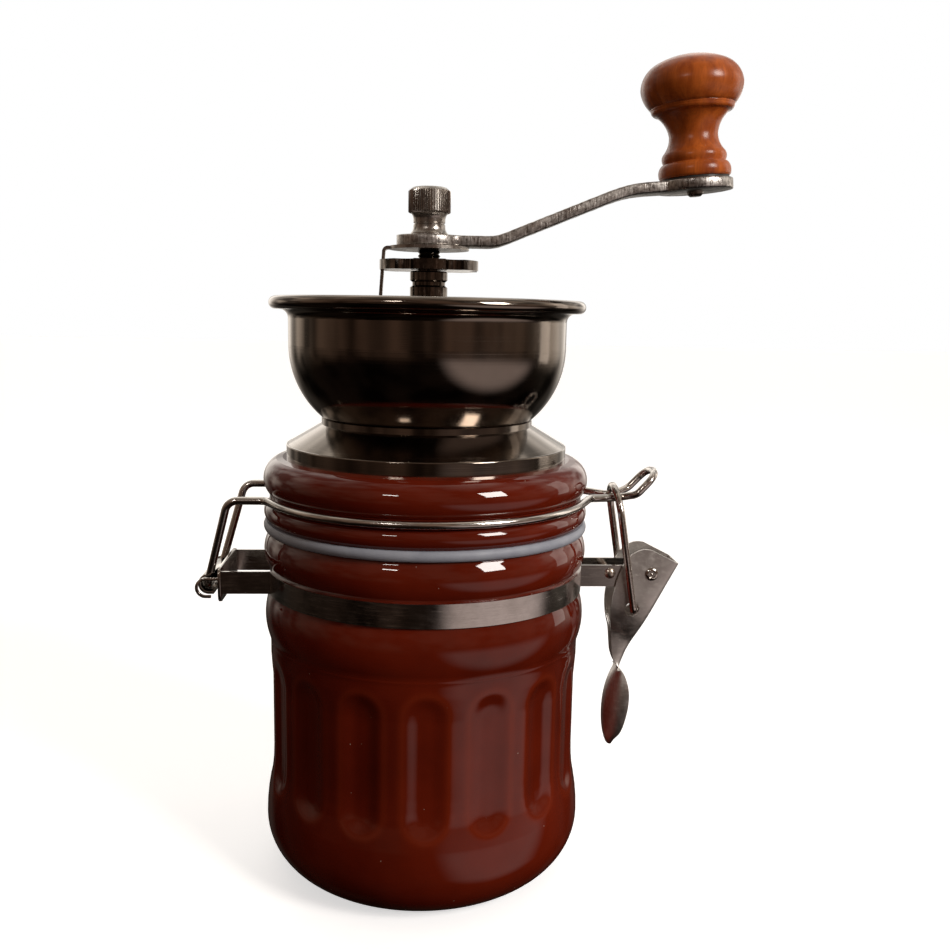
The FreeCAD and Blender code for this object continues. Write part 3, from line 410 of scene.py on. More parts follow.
# %% Dark nickel
NICKEL_DEEP = (0.185, 0.155, 0.130, 1)
NICKEL_LIT = (0.250, 0.218, 0.188, 1)
NICKEL_SPECK = (0.6, 0.55, 0.5, 1)


def around(tree, place):
    """Coordinates that change only with radius and height, so that noise becomes turned rings."""
    split = node(tree, "ShaderNodeSeparateXYZ", {0: place})
    square = calc(tree, "MULTIPLY", split.outputs["X"], split.outputs["X"])
    radius = calc(tree, "SQRT", calc(tree, "MULTIPLY_ADD", split.outputs["Y"], split.outputs["Y"], square))
    return node(tree, "ShaderNodeCombineXYZ", {"X": radius, "Y": 0.0, "Z": split.outputs["Z"]}).outputs[0]


def build_dark_nickel():
    """A dark mirror with turned rings and a few specks."""
    material, tree, shader, place = start_material("dark_nickel", Metallic=1.0)
    tint = patches(tree, place, 26.0)
    metal = blended(tree, tint, NICKEL_DEEP, NICKEL_LIT)
    specks = place_group(tree, SPECKS, Vector=place, Scale=420.0, Size=0.10)["Mask"]
    metal = blended(tree, calc(tree, "MULTIPLY", specks, 0.4), metal, NICKEL_SPECK)
    rings = place_group(tree, SCRATCHES, Vector=around(tree, place), Scale=2600.0, Share=0.5)
    gloss = patches(tree, place, 70.0, 0.07, 0.15)
    rough = calc(tree, "MULTIPLY_ADD", rings["Mask"], 0.10, gloss)
    normal = bumped(tree, rings["Height"], 0.05, 0.0002)
    wire_up(tree, shader, Base_Color=metal, Roughness=rough, Normal=normal)
    return material


dark_nickel = build_dark_nickel()
print("finish:", dark_nickel.name)

# %% [markdown]
# The other metals are one recipe with different values: cloudy patches between a deep and a
# bright colour, pale scratches over them, and uneven gloss. The nut and the clip have a worn
# antique nickel, the wheel and the hub below it are nearly black, and the arm is blotched, with
# rubbed streaks across the bar. The wires and bands are bright steel, the lever is satin, and the
# tie rivet is tan. The mill's hidden housing is plain steel, and the burrs are dull, pitted iron.

# %% The worn metals
SCRATCH = (0.86, 0.84, 0.80, 1)


def build_worn_metal(name, deep, bright, gloss, streak, wear, stretch, blotch=90.0, relief=0.12):
    """A brushed or rubbed metal.

    gloss is the range of its roughness, streak the scratches' scale and wear how much they cover.
    stretch squeezes the pattern so that its streaks run one way, and blotch scales the patches.
    """
    material, tree, shader, place = start_material(name, Metallic=1.0)
    cloud = patches(tree, place, blotch)
    hairs = place_group(
        tree, SCRATCHES, Vector=squeezed(tree, place, *stretch), Scale=streak, Share=wear)
    body = blended(tree, cloud, deep, bright)
    body = blended(tree, calc(tree, "MULTIPLY", hairs["Mask"], 0.6), body, SCRATCH)
    rough = patches(tree, place, 260.0, *gloss)
    rough = calc(tree, "MULTIPLY_ADD", hairs["Mask"], 0.12, rough)
    normal = bumped(tree, hairs["Height"], relief, 0.0002)
    wire_up(tree, shader, Base_Color=body, Roughness=rough, Normal=normal)
    return material


antique_nickel = build_worn_metal(
    "antique_nickel", (0.27, 0.245, 0.22, 1), (0.44, 0.41, 0.38, 1), (0.20, 0.34), 1600.0, 0.5,
    (1.0, 1.0, 0.3))
black_nickel = build_worn_metal(
    "black_nickel", (0.060, 0.048, 0.040, 1), (0.20, 0.175, 0.150, 1), (0.06, 0.16), 1200.0, 0.4,
    (1.0, 1.0, 0.3), blotch=260.0)
rubbed_nickel = build_worn_metal(
    "rubbed_nickel", (0.085, 0.070, 0.060, 1), (0.62, 0.59, 0.56, 1), (0.22, 0.40), 1500.0, 0.9,
    (1.0, 0.12, 0.12), blotch=900.0, relief=0.6)
bright_steel = build_worn_metal(
    "bright_steel", (0.50, 0.47, 0.44, 1), (0.66, 0.63, 0.60, 1), (0.10, 0.22), 1500.0, 0.5,
    (0.08, 0.08, 1.0))
satin_steel = build_worn_metal(
    "satin_steel", (0.52, 0.495, 0.47, 1), (0.68, 0.655, 0.63, 1), (0.34, 0.46), 900.0, 0.7,
    (0.5, 0.5, 1.0))
plain_steel = build_worn_metal(
    "plain_steel", (0.32, 0.31, 0.30, 1), (0.46, 0.45, 0.44, 1), (0.28, 0.45), 900.0, 0.4,
    (1.0, 1.0, 0.1))
burr_iron = build_worn_metal(
    "burr_iron", (0.09, 0.088, 0.085, 1), (0.17, 0.165, 0.16, 1), (0.45, 0.65), 500.0, 0.3,
    (1.0, 1.0, 1.0))
rivet_tan = build_worn_metal(
    "rivet_tan", (0.50, 0.43, 0.36, 1), (0.74, 0.67, 0.59, 1), (0.25, 0.36), 900.0, 0.5,
    (1.0, 1.0, 1.0))
print("materials so far:", len(bpy.data.materials))

# %% [markdown]
# ## Wood, rubber, the washer and the floor
#
# The knob is turned from a pale hardwood, stained orange-brown and varnished. The grain runs
# along its axis: long, thin pores and slow bands of colour. The seal is a matte blue-grey rubber.
# The seal, the dark washer and the floor share one recipe for matte things. The floor also glows
# a little, so that it stays pale far from the lights.

# %% Wood and rubber
WOOD_DEEP = (0.270, 0.050, 0.008, 1)
WOOD_LIT = (0.540, 0.128, 0.020, 1)
WOOD_PORE = (0.060, 0.014, 0.004, 1)
FLOOR_GLOW = 0.6


def build_wood():
    """Bands and long pores under an uneven varnish."""
    material, tree, shader, place = start_material(
        "knob_wood", Coat_Roughness=0.24, Coat_IOR=1.4, Specular_IOR_Level=0.1)
    along = squeezed(tree, place, 1.0, 1.0, 0.10)
    bands = node(tree, "ShaderNodeTexNoise", {
        "Vector": along, "Scale": 260.0, "Detail": 5.0, "Roughness": 0.55, "Distortion": 0.6})
    band_share = ranged(tree, bands.outputs["Fac"], 0.30, 0.72, 0.0, 1.0)
    body = blended(tree, band_share, WOOD_DEEP, WOOD_LIT)
    pores = place_group(
        tree, SCRATCHES, Vector=squeezed(tree, place, 1.0, 1.0, 0.05), Scale=1500.0, Share=0.75)
    body = blended(tree, calc(tree, "MULTIPLY", pores["Mask"], 0.30), body, WOOD_PORE)
    rough = patches(tree, place, 150.0, 0.25, 0.38)
    normal = bumped(tree, pores["Height"], 0.10, 0.0003)
    coat = patches(tree, place, 90.0, 0.45, 0.65)
    wire_up(tree, shader, Base_Color=body, Roughness=rough, Normal=normal, Coat_Weight=coat)
    return material


def build_matte(name, first, second, gloss, grain):
    """A matte rubber or lacquer between two colours, with a fine grain."""
    material, tree, shader, place = start_material(name, Specular_IOR_Level=0.4)
    cloud = patches(tree, place, 130.0)
    body = blended(tree, cloud, first, second)
    fine = node(tree, "ShaderNodeTexNoise", {"Vector": place, "Scale": grain, "Detail": 3.0})
    rough = patches(tree, place, 300.0, *gloss)
    normal = bumped(tree, fine.outputs["Fac"], 0.25, 0.0002)
    wire_up(tree, shader, Base_Color=body, Roughness=rough, Normal=normal)
    return material


knob_wood = build_wood()
seal_rubber = build_matte(
    "seal_rubber", (0.255, 0.275, 0.325, 1), (0.340, 0.362, 0.415, 1), (0.42, 0.58), 1800.0)
dark_washer = build_matte(
    "dark_washer", (0.020, 0.018, 0.017, 1), (0.040, 0.036, 0.033, 1), (0.30, 0.45), 2400.0)
floor_white = build_matte(
    "floor_white", (0.84, 0.84, 0.84, 1), (0.86, 0.86, 0.86, 1), (0.6, 0.7), 300.0)
floor_shader = floor_white.node_tree.nodes["Principled BSDF"]
floor_shader.inputs["Emission Color"].default_value = (1, 1, 1, 1)
floor_shader.inputs["Emission Strength"].default_value = FLOOR_GLOW
print("materials so far:", len(bpy.data.materials))

# %% [markdown]
# ## A lathe for the round pieces
#
# Most of the grinder is round, as if turned on a lathe. A round piece is one closed outline in
# the plane of radius and height, carried round the axis. Corners may have a third number: the
# radius of the arc that arrives there, positive when the outline turns left. That keeps outlines
# short, because a curve needs only its two ends.

# %% Lathe
ARC_STEP = math.radians(5)
SHARP_EDGE = math.radians(32)


def arc_points(start, end, bend):
    """The points of an arc from start to end, without start itself."""
    chord = Vector(end) - Vector(start)
    rise = math.sqrt(max(bend * bend - chord.length_squared / 4, 0.0)) * (1 if bend > 0 else -1)
    centre = (Vector(start) + Vector(end)) / 2 + Vector((-chord.y, chord.x)).normalized() * rise
    first = Vector(start) - centre
    sweep = 2 * math.asin(min(chord.length / (2 * abs(bend)), 1.0)) * (1 if bend > 0 else -1)
    count = max(2, math.ceil(abs(sweep) / ARC_STEP))
    points = []
    for step in range(1, count + 1):
        angle = sweep * step / count
        points.append(centre + Vector((
            first.x * math.cos(angle) - first.y * math.sin(angle),
            first.x * math.sin(angle) + first.y * math.cos(angle))))
    return points


def traced(corners):
    """An outline's points in metres, from corners in millimetres."""
    points = [Vector(corners[0][:2])]
    for corner in corners[1:]:
        if len(corner) == 3:
            points += arc_points(points[-1], corner[:2], corner[2])
        else:
            points.append(Vector(corner))
    return [point * mm for point in points]


def divided(points, low, high, step):
    """Cuts the outline's upright runs between two heights into short steps."""
    result = [points[0]]
    for point in points[1:]:
        last = result[-1]
        inside = min(last.y, point.y) >= low - mm and max(last.y, point.y) <= high + mm
        count = max(1, math.ceil((point - last).length / step)) if inside else 1
        result += [last.lerp(point, index / count) for index in range(1, count + 1)]
    return result


def shaded(piece, sharp):
    """Shades the piece smooth, except for edges above that angle."""
    piece.data.shade_smooth()
    piece.data.set_sharp_from_angle(angle=sharp)
    return piece


def mesh_object(name, verts, faces, sharp=SHARP_EDGE):
    """A smooth-shaded object whose edges stay sharp above that angle."""
    mesh = bpy.data.meshes.new(name)
    mesh.from_pydata([tuple(v) for v in verts], [], faces)
    mesh.validate()
    return shaded(placed(name, mesh), sharp)


def skin(rows, width, closed):
    """Four-sided faces between rows of points, where each row is width points long."""
    faces = []
    for row in range(rows - 1):
        for index in range(width if closed else width - 1):
            here, after = row * width + index, row * width + (index + 1) % width
            faces.append((here, after, after + width, here + width))
    return faces


def turned(name, points, turns=192):
    """Carries a closed outline round the Z axis. Points on the axis become one shared vertex."""
    verts, rings = [], []
    for point in points:
        if point.x < 1e-6:
            rings.append([len(verts)] * turns)
            verts.append(Vector((0, 0, point.y)))
            continue
        rings.append(list(range(len(verts), len(verts) + turns)))
        for step in range(turns):
            angle = 2 * math.pi * step / turns
            verts.append(Vector((point.x * math.cos(angle), point.x * math.sin(angle), point.y)))
    faces = []
    for low, high in zip(rings, rings[1:] + rings[:1]):
        for step in range(turns):
            after = (step + 1) % turns
            corners = []
            for corner in (low[step], low[after], high[after], high[step]):
                if corner not in corners:
                    corners.append(corner)
            if len(corners) > 2:
                faces.append(corners)
    return mesh_object(name, verts, faces)


print("short lines in a quarter circle:", len(arc_points((1, 0), (0, 1), 1.0)))

# %% [markdown]
# A new piece keeps what its modifiers made of it, gets its material, and rides on the same body as
# the measured parts it stands for.

# %% Finishing a piece
def settled(piece):
    """Replaces the piece's mesh by what its modifiers make of it, and removes them."""
    bpy.context.view_layer.update()
    graph = bpy.context.evaluated_depsgraph_get()
    mesh = bpy.data.meshes.new_from_object(piece.evaluated_get(graph))
    piece.modifiers.clear()
    piece.data = mesh
    return piece


def dress(part, material):
    """Puts one material in each of the part's slots."""
    if not part.data.materials:
        part.data.materials.append(material)
    for index in range(len(part.data.materials)):
        part.data.materials[index] = material


def stand_for(piece, body, slot, *cad_nodes):
    """The piece rides on a body, and these CAD nodes aren't shown."""
    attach(piece, body)
    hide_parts(*cad_nodes)
    print(piece.name, "stands for", ", ".join(cad_nodes), "-", len(piece.data.polygons), "faces")


# %% [markdown]
# ## The jar
#
# The jar is thrown on a wheel, then a ring of shallow flutes is pressed into its waist. One way
# is to model one flute and copy it round. Here the flutes follow a rule instead, so Geometry
# Nodes can press them all at once: a point's distance from the nearest flute's outline says how
# deep it sinks. The outline is a slot with round ends. The same distance is stored as an
# attribute, because the glaze thins along the flute's lip.

# %% Jar outline
JAR_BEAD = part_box("jar")[1].x / mm
JAR_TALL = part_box("jar")[1].z / mm
JAR_WAIST, JAR_NECK, JAR_FOOT = 48.7, 49.3, 36.0
JAR_BORE, JAR_MOUTH = 44.2, 43.5
BELLY, WAIST_LOW, WAIST_TOP, SHOULDER = 16.5, 39.5, 60.0, 74.5
BAND_LOW, BAND_TOP = (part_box("clamp_band_front")[side].z / mm for side in (0, 1))
JAR_TURNS = 320
# The wall between these heights is cut into short steps, so that the flutes press in smoothly.
WALL_LOW, WALL_TOP, WALL_STEP = 24.0, 76.0, 0.9
FLUTE_COUNT, FLUTE_HALF, FLUTE_LOW, FLUTE_TOP, FLUTE_DEPTH = 16, 6.9, 27.5, 71.5, 1.15
FLUTE_INNER = 46.0


def jar_outline():
    """The jar's section: the foot, the belly, the waist, the neck, and back down the inside."""
    half_way = (BELLY + WAIST_LOW) / 2
    return [
        (0, 1.2), (30.5, 1.2), (32.5, 0.5, -2.6), (34.0, 0), (JAR_FOOT, 0),
        (JAR_BEAD, BELLY, 16.7),
        ((JAR_BEAD + JAR_WAIST) / 2, half_way, 58),
        (JAR_WAIST, WAIST_LOW, -58),
        (JAR_WAIST, WAIST_TOP),
        (JAR_WAIST + 0.28, 66.5, -42),
        (JAR_NECK - 0.05, SHOULDER, 60),
        (JAR_NECK, SHOULDER + 1.2, 3.0),
        (JAR_NECK, BAND_LOW - 0.4, 19.9),
        (JAR_NECK, BAND_TOP + 0.4),
        (JAR_NECK, JAR_TALL - 0.6, 9.7),
        (JAR_NECK - 0.6, JAR_TALL, 0.6),
        (JAR_MOUTH + 0.8, JAR_TALL),
        (JAR_MOUTH, JAR_TALL - 0.8, 0.8),
        (JAR_MOUTH, JAR_TALL - 11),
        (JAR_BORE, JAR_TALL - 15),
        (JAR_BORE, 15),
        (JAR_BORE - 10, 5, -10),
        (0, 5),
    ]


print("corners in the jar's outline:", len(jar_outline()))


# %% Geometry trees
FLOAT, INTEGER, STUFF = "NodeSocketFloat", "NodeSocketInt", "NodeSocketMaterial"


def tree_inputs(tree, inputs):
    """Gives a geometry tree its Geometry socket and named inputs, and returns the outputs."""
    tree.interface.new_socket(name="Geometry", in_out="INPUT", socket_type="NodeSocketGeometry")
    for label, kind in inputs.items():
        tree.interface.new_socket(name=label, in_out="INPUT", socket_type=kind)
    tree.interface.new_socket(name="Geometry", in_out="OUTPUT", socket_type="NodeSocketGeometry")
    return tree.nodes.new("NodeGroupInput").outputs


def tree_output(tree, geometry, material):
    """Ends a geometry tree in real geometry with its material."""
    real = node(tree, "GeometryNodeRealizeInstances", {"Geometry": geometry}).outputs[0]
    dressed = node(tree, "GeometryNodeSetMaterial", {"Geometry": real, "Material": material})
    node(tree, "NodeGroupOutput", {0: dressed.outputs[0]})


def run_tree(piece, tree, values):
    """Runs a geometry tree on the piece with these values, and keeps only the result."""
    modifier = piece.modifiers.new(tree.name, "NODES")
    modifier.node_group = tree
    for item in tree.interface.items_tree:
        if item.in_out == "INPUT" and item.name in values:
            modifier[item.identifier] = values[item.name]
    return settled(piece)


def length_of(tree, vector):
    """A vector's length."""
    return node(tree, "ShaderNodeVectorMath", {0: vector}, operation="LENGTH").outputs["Value"]


# %% Flutes
def build_flute_tree():
    """Presses a ring of round-ended flutes into the outside of an upright round wall."""
    tree = bpy.data.node_groups.new("Pressed Flutes", "GeometryNodeTree")
    given = tree_inputs(tree, {
        "Count": INTEGER, "Half Width": FLOAT, "Low": FLOAT, "Top": FLOAT, "Depth": FLOAT,
        "Wall Radius": FLOAT, "Inner Limit": FLOAT, "Material": STUFF})
    position = node(tree, "GeometryNodeInputPosition").outputs[0]
    split = node(tree, "ShaderNodeSeparateXYZ", {0: position})
    angle = calc(tree, "ARCTAN2", split.outputs["X"], calc(tree, "MULTIPLY", split.outputs["Y"], -1.0))
    pitch = calc(tree, "DIVIDE", 2 * math.pi, given["Count"])
    turn = calc(tree, "WRAP", angle, calc(tree, "MULTIPLY", pitch, 0.5), calc(tree, "MULTIPLY", pitch, -0.5))
    across = calc(tree, "MULTIPLY", turn, given["Wall Radius"])
    middle = calc(tree, "MULTIPLY", calc(tree, "ADD", given["Low"], given["Top"]), 0.5)
    half_tall = calc(tree, "MULTIPLY", calc(tree, "SUBTRACT", given["Top"], given["Low"]), 0.5)
    half_span = calc(tree, "SUBTRACT", half_tall, given["Half Width"])
    height = calc(tree, "ABSOLUTE", calc(tree, "SUBTRACT", split.outputs["Z"], middle))
    beyond = calc(tree, "MAXIMUM", calc(tree, "SUBTRACT", height, half_span), 0.0)
    reach = node(tree, "ShaderNodeCombineXYZ", {"X": across, "Y": beyond})
    share = calc(tree, "DIVIDE", length_of(tree, reach.outputs[0]), given["Half Width"])
    scoop = ranged(tree, share, 1.15, 0.10, 0.0, 1.0, "SMOOTHERSTEP")
    flat = node(tree, "ShaderNodeCombineXYZ", {"X": split.outputs["X"], "Y": split.outputs["Y"]})
    outside = calc(tree, "GREATER_THAN", length_of(tree, flat.outputs[0]), given["Inner Limit"])
    sink = calc(tree, "MULTIPLY", calc(tree, "MULTIPLY", scoop, given["Depth"]), outside)
    inward = node(tree, "ShaderNodeVectorMath", {0: flat.outputs[0]}, operation="NORMALIZE").outputs[0]
    move = node(tree, "ShaderNodeVectorMath", {0: inward, "Scale": calc(tree, "MULTIPLY", sink, -1.0)},
                operation="SCALE").outputs[0]
    pressed = node(tree, "GeometryNodeSetPosition", {"Geometry": given["Geometry"], "Offset": move})
    off_lip = calc(tree, "DIVIDE", calc(tree, "SUBTRACT", share, 1.0), 0.16)
    lip = calc(tree, "EXPONENT", calc(tree, "MULTIPLY", calc(tree, "MULTIPLY", off_lip, off_lip), -1.0))
    kept = node(tree, "GeometryNodeStoreNamedAttribute", {
        "Geometry": pressed.outputs[0], "Name": "flute_lip", "Value": calc(tree, "MULTIPLY", lip, outside)},
        data_type="FLOAT", domain="POINT")
    tree_output(tree, kept.outputs[0], given["Material"])
    return tree


def make_jar():
    """Turns the jar, then presses its flutes."""
    points = divided(traced(jar_outline()), WALL_LOW * mm, WALL_TOP * mm, WALL_STEP * mm)
    jar = turned("glazed_jar", points, turns=JAR_TURNS)
    run_tree(jar, build_flute_tree(), {
        "Count": FLUTE_COUNT, "Half Width": FLUTE_HALF * mm, "Low": FLUTE_LOW * mm,
        "Top": FLUTE_TOP * mm, "Depth": FLUTE_DEPTH * mm, "Wall Radius": JAR_WAIST * mm,
        "Inner Limit": FLUTE_INNER * mm, "Material": brown_glaze})
    shaded(jar, sharp=math.radians(35))
    stand_for(jar, "root", "brown_glaze", "jar")


make_jar()

# %% [markdown]
# ## The thumb nut
#
# The nut's head is straight-knurled: fifty-two fine ridges that stop at a chamfer. A ridge is a
# tiny three-sided bar. It is modelled once, and Geometry Nodes repeats it round the axis. The
# same tree serves anything that repeats in a ring.

# %% Ring of copies
def build_ring_tree():
    """Repeats the incoming piece round the Z axis, Count times, after a first turn."""
    tree = bpy.data.node_groups.new("Ring Of Copies", "GeometryNodeTree")
    given = tree_inputs(tree, {"Count": INTEGER, "First Turn": FLOAT, "Material": STUFF})
    places = node(tree, "GeometryNodePoints", {"Count": given["Count"]}).outputs[0]
    index = node(tree, "GeometryNodeInputIndex").outputs[0]
    step = calc(tree, "DIVIDE", 2 * math.pi, given["Count"])
    angle = calc(tree, "MULTIPLY_ADD", index, step, given["First Turn"])
    turn = node(tree, "ShaderNodeCombineXYZ", {"Z": angle}).outputs[0]
    copies = node(tree, "GeometryNodeInstanceOnPoints", {
        "Points": places, "Instance": given["Geometry"], "Rotation": turn}).outputs[0]
    tree_output(tree, copies, given["Material"])
    return tree


RING = build_ring_tree()
print("ring tree nodes:", len(RING.nodes))


# %% Thumb nut
RIDGE_COUNT = 52


def joined(name, pieces):
    """One object from several that share one material."""
    graph = bmesh.new()
    for piece in pieces:
        graph.from_mesh(piece.data)
    mesh = bpy.data.meshes.new(name)
    graph.to_mesh(mesh)
    graph.free()
    mesh.materials.append(pieces[0].data.materials[0])
    for piece in pieces:
        bpy.data.objects.remove(piece)
    return shaded(placed(name, mesh), sharp=math.radians(35))


def ridge(low, top, chamfer, core, tip, half):
    """One knurl ridge along Z: a V that leans back to the core over the chamfer."""
    verts = []
    for level, reach in ((low, core), (low + 0.3, tip), (top - chamfer, tip), (top, core)):
        verts += [(core - 0.4, -half, level), (reach, 0, level), (core - 0.4, half, level)]
    faces = skin(4, 3, closed=True) + [(2, 1, 0), (9, 10, 11)]
    return mesh_object("ridge", [Vector(v) * mm for v in verts], faces)


def make_thumb_nut():
    """A turned body with its knurl, joined to one piece."""
    low, high = (corner.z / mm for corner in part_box("thumb_nut"))
    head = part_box("thumb_nut")[1].x / mm
    core, neck, bore = head - 0.35, 4.9, 3.55
    body = turned("nut_body", traced([
        (bore, low), (head - 1.0, low), (head - 0.8, low + 0.2, 0.2), (head - 0.8, low + 0.7),
        (neck, low + 2.6, -3.0), (neck, low + 3.2), (neck - 0.25, low + 3.4), (neck - 0.25, low + 3.7),
        (neck, low + 3.9), (neck, low + 5.0), (core, low + 7.2, -3.2), (core, high - 1.0),
        (core - 0.9, high - 0.15), (core - 1.4, high), (core - 2.4, high), (core - 2.7, high - 0.18),
        (0, high - 0.18), (0, high - 6.0), (bore, high - 6.0),
    ]), turns=120)
    dress(body, antique_nickel)
    ridges = ridge(low + 6.7, high - 0.75, 0.5, core - 0.1, head, 0.33)
    run_tree(ridges, RING, {"Count": RIDGE_COUNT, "First Turn": 0.0, "Material": antique_nickel})
    nut = joined("knurled_thumb_nut", [body, ridges])
    stand_for(nut, "crank", "antique_nickel", "thumb_nut")


make_thumb_nut()

# %% [markdown]
# ## The latch lever
#
# The lever is pressed from one strip of sheet steel. Above, it is a channel that wraps round the
# two ears. At the neck its cheeks are pinched together, and below it flares into a thumb spoon
# that bends the other way: the middle of the channel's back becomes the spoon's belly, and the
# channel's free edges become its rim. So the whole strip can be one lofted surface. Each station
# has the middle of the sheet, its free edge, its half width and how square its corners are.
# Solidify gives the sheet its thickness, and a Boolean drills the link's eye.

# %% Lever stations
LEVER_FOOT = Vector((66.9, 69.5))
LEVER_TOP = Vector((81.6, 98.8))
LEVER_SHEET = 0.8
LEVER_ACROSS = 28
EYE_X, EYE_Z, EYE_RADIUS, DRILL_HALF = 66.8, 83.8, 2.4, 12.0
CHANNEL = (
    # along the back, depth of the cheek, half width
    (32.8, 10.3, 6.5), (32.0, 12.4, 6.5), (30.6, 14.0, 6.5), (28.4, 15.4, 6.5), (25.1, 16.1, 6.5),
    (20.0, 15.7, 6.5), (15.5, 14.7, 6.5), (10.5, 13.0, 6.1), (6.0, 10.6, 4.8), (2.5, 8.0, 3.3),
)
SPOON = (
    # middle of the sheet (x, z), free edge (x, z), half width, squareness
    ((66.4, 68.4), (61.4, 69.2), 2.9, 3.6), ((65.7, 66.4), (61.8, 66.8), 2.8, 3.0),
    ((64.9, 64.4), (62.8, 64.4), 3.0, 2.4), ((63.7, 62.0), (64.8, 62.2), 3.8, 2.0),
    ((62.2, 59.0), (66.1, 59.6), 5.0, 2.0), ((61.0, 55.2), (66.9, 55.9), 6.2, 2.0),
    ((60.3, 51.0), (66.8, 51.3), 6.6, 2.0), ((60.1, 46.6), (66.0, 46.4), 6.3, 2.0),
    ((60.3, 42.4), (64.9, 41.8), 5.0, 2.0), ((60.9, 39.2), (63.2, 38.8), 3.4, 2.0),
    ((61.6, 37.0), (62.7, 36.8), 1.7, 2.0), ((62.1, 36.2), (62.4, 36.2), 0.5, 2.0),
)


def lever_stations():
    """All stations as (middle x, middle z, edge x, edge z, half width, squareness)."""
    along = (LEVER_TOP - LEVER_FOOT).normalized()
    inward = Vector((-along.y, along.x))
    stations = []
    for reach, depth, half in CHANNEL:
        middle = LEVER_FOOT + along * reach
        edge = middle + inward * depth
        stations.append((*middle, *edge, half, 4.0 + 0.25 * reach))
    for middle, edge, half, square in SPOON:
        stations.append((*middle, *edge, half, square))
    return stations


def smooth_rows(rows, steps):
    """Puts steps rows between each pair of rows, on a Catmull-Rom curve through all of them."""
    result = []
    for index in range(len(rows) - 1):
        before, first = rows[max(index - 1, 0)], rows[index]
        second, after = rows[index + 1], rows[min(index + 2, len(rows) - 1)]
        for step in range(steps):
            t = step / steps
            result.append(tuple(
                0.5 * (2 * b + (c - a) * t + (2 * a - 5 * b + 4 * c - d) * t * t
                       + (3 * b - a - 3 * c + d) * t ** 3)
                for a, b, c, d in zip(before, first, second, after)))
    return result + [rows[-1]]


print("lever stations:", len(lever_stations()))


# %% Latch lever
def lever_sheet():
    """The lever's outer surface, lofted through its stations."""
    verts = []
    rows = smooth_rows(lever_stations(), 4)
    for middle_x, middle_z, edge_x, edge_z, half, square in rows:
        power = 2 / square
        for index in range(LEVER_ACROSS + 1):
            angle = (index / LEVER_ACROSS - 0.5) * math.pi
            side = math.copysign(abs(math.sin(angle)) ** power, angle)
            share = 1 - max(math.cos(angle), 0.0) ** power
            verts.append(Vector((
                middle_x + (edge_x - middle_x) * share,
                half * side,
                middle_z + (edge_z - middle_z) * share)) * mm)
    faces = [(a, d, c, b) for a, b, c, d in skin(len(rows), LEVER_ACROSS + 1, closed=False)]
    return mesh_object("pressed_latch_lever", verts, faces)


def bar_through(name, x, z, radius, half):
    """A plain round bar along Y, used only to drill with."""
    outline = [Vector((0, -half)), Vector((radius, -half)), Vector((radius, half)), Vector((0, half))]
    piece = turned(name, outline, turns=48)
    piece.data.transform(Matrix.Translation((x, 0, z)) @ Matrix.Rotation(math.radians(90), 4, "X"))
    return piece


def make_latch_lever():
    """Thickens the lofted sheet inwards and drills the link's eye."""
    lever = lever_sheet()
    sheet = lever.modifiers.new("sheet", "SOLIDIFY")
    sheet.thickness = LEVER_SHEET * mm
    sheet.offset = -1
    sheet.use_even_offset = True
    settled(lever)
    drill = bar_through("drill", EYE_X * mm, EYE_Z * mm, EYE_RADIUS * mm, DRILL_HALF * mm)
    hole = lever.modifiers.new("eye", "BOOLEAN")
    hole.object = drill
    hole.operation = "DIFFERENCE"
    hole.solver = "EXACT"
    settled(lever)
    bpy.data.objects.remove(drill)
    lever.data.materials.clear()
    dress(lever, satin_steel)
    shaded(lever, sharp=math.radians(40))
    stand_for(lever, "lever", "bright_steel", "latch_lever")


make_latch_lever()

# %% [markdown]
# ## The crank arm
#
# The arm is a flat bar with a round hub at the shaft and a round pad under the knob. It is bent
# twice: sharply near the hub, and in a long, lazy curve near the pad. The centreline's slope
# changes smoothly at each bend, and its height is that slope added up step by step. At each
# station along it stands a rounded rectangle, as wide as the arm is there, and one skin joins
# them all. The stations crowd towards the round ends, where the width changes fast.

# %% Arm shape
ARM_LEVEL, ARM_THICK, ARM_HALF, ARM_CORNER = 199.0, 3.2, 6.0, 0.55
HUB_RADIUS, PAD_RADIUS, PAD_X = 10.0, 11.5, 82.0
FIRST_BEND, SECOND_BEND, RISE = 20.5, 60.65, 16.63
FIRST_REACH, SECOND_REACH = 3.5, 8.0
PAD_TILT = math.radians(5)
PAD_SLOPE = math.tan(PAD_TILT)
ARM_TIP_HALF = 0.3
# The round ends' stations stop or start at these angles, in degrees, round the end's centre.
HUB_STOP, PAD_START = 53.2, 148.6
HUB_STATIONS, BAR_STATIONS, PAD_STATIONS = 26, 60, 30
CORNER_TURNS = (0, 30, 60, 90)
SECTION_POINTS = 4 * len(CORNER_TURNS)


def eased(value, low, high):
    """0 below low, 1 above high, and a smooth step between them."""
    t = min(max((value - low) / (high - low), 0.0), 1.0)
    return t * t * (3 - 2 * t)


def arm_slope(x):
    """How fast the centreline climbs there."""
    climb = RISE / (SECOND_BEND - FIRST_BEND)
    rising = climb * eased(x, FIRST_BEND - FIRST_REACH, FIRST_BEND + FIRST_REACH)
    return rising + (PAD_SLOPE - climb) * eased(x, SECOND_BEND - SECOND_REACH, SECOND_BEND + SECOND_REACH)


def arm_height(x, step=0.25):
    """The centreline's height: its slope added up from the hub."""
    count = max(int(x / step), 0)
    return ARM_LEVEL + sum(arm_slope((index + 0.5) * step) for index in range(count)) * step


def arm_half_width(x):
    """The widest of the hub, the pad and the bar there, and never quite nothing."""
    hub = math.sqrt(max(HUB_RADIUS ** 2 - x * x, 0.0))
    pad = math.sqrt(max(PAD_RADIUS ** 2 - (x - PAD_X) ** 2, 0.0))
    bar = ARM_HALF if 0 < x < PAD_X else 0.0
    return max(hub, pad, bar, ARM_TIP_HALF)


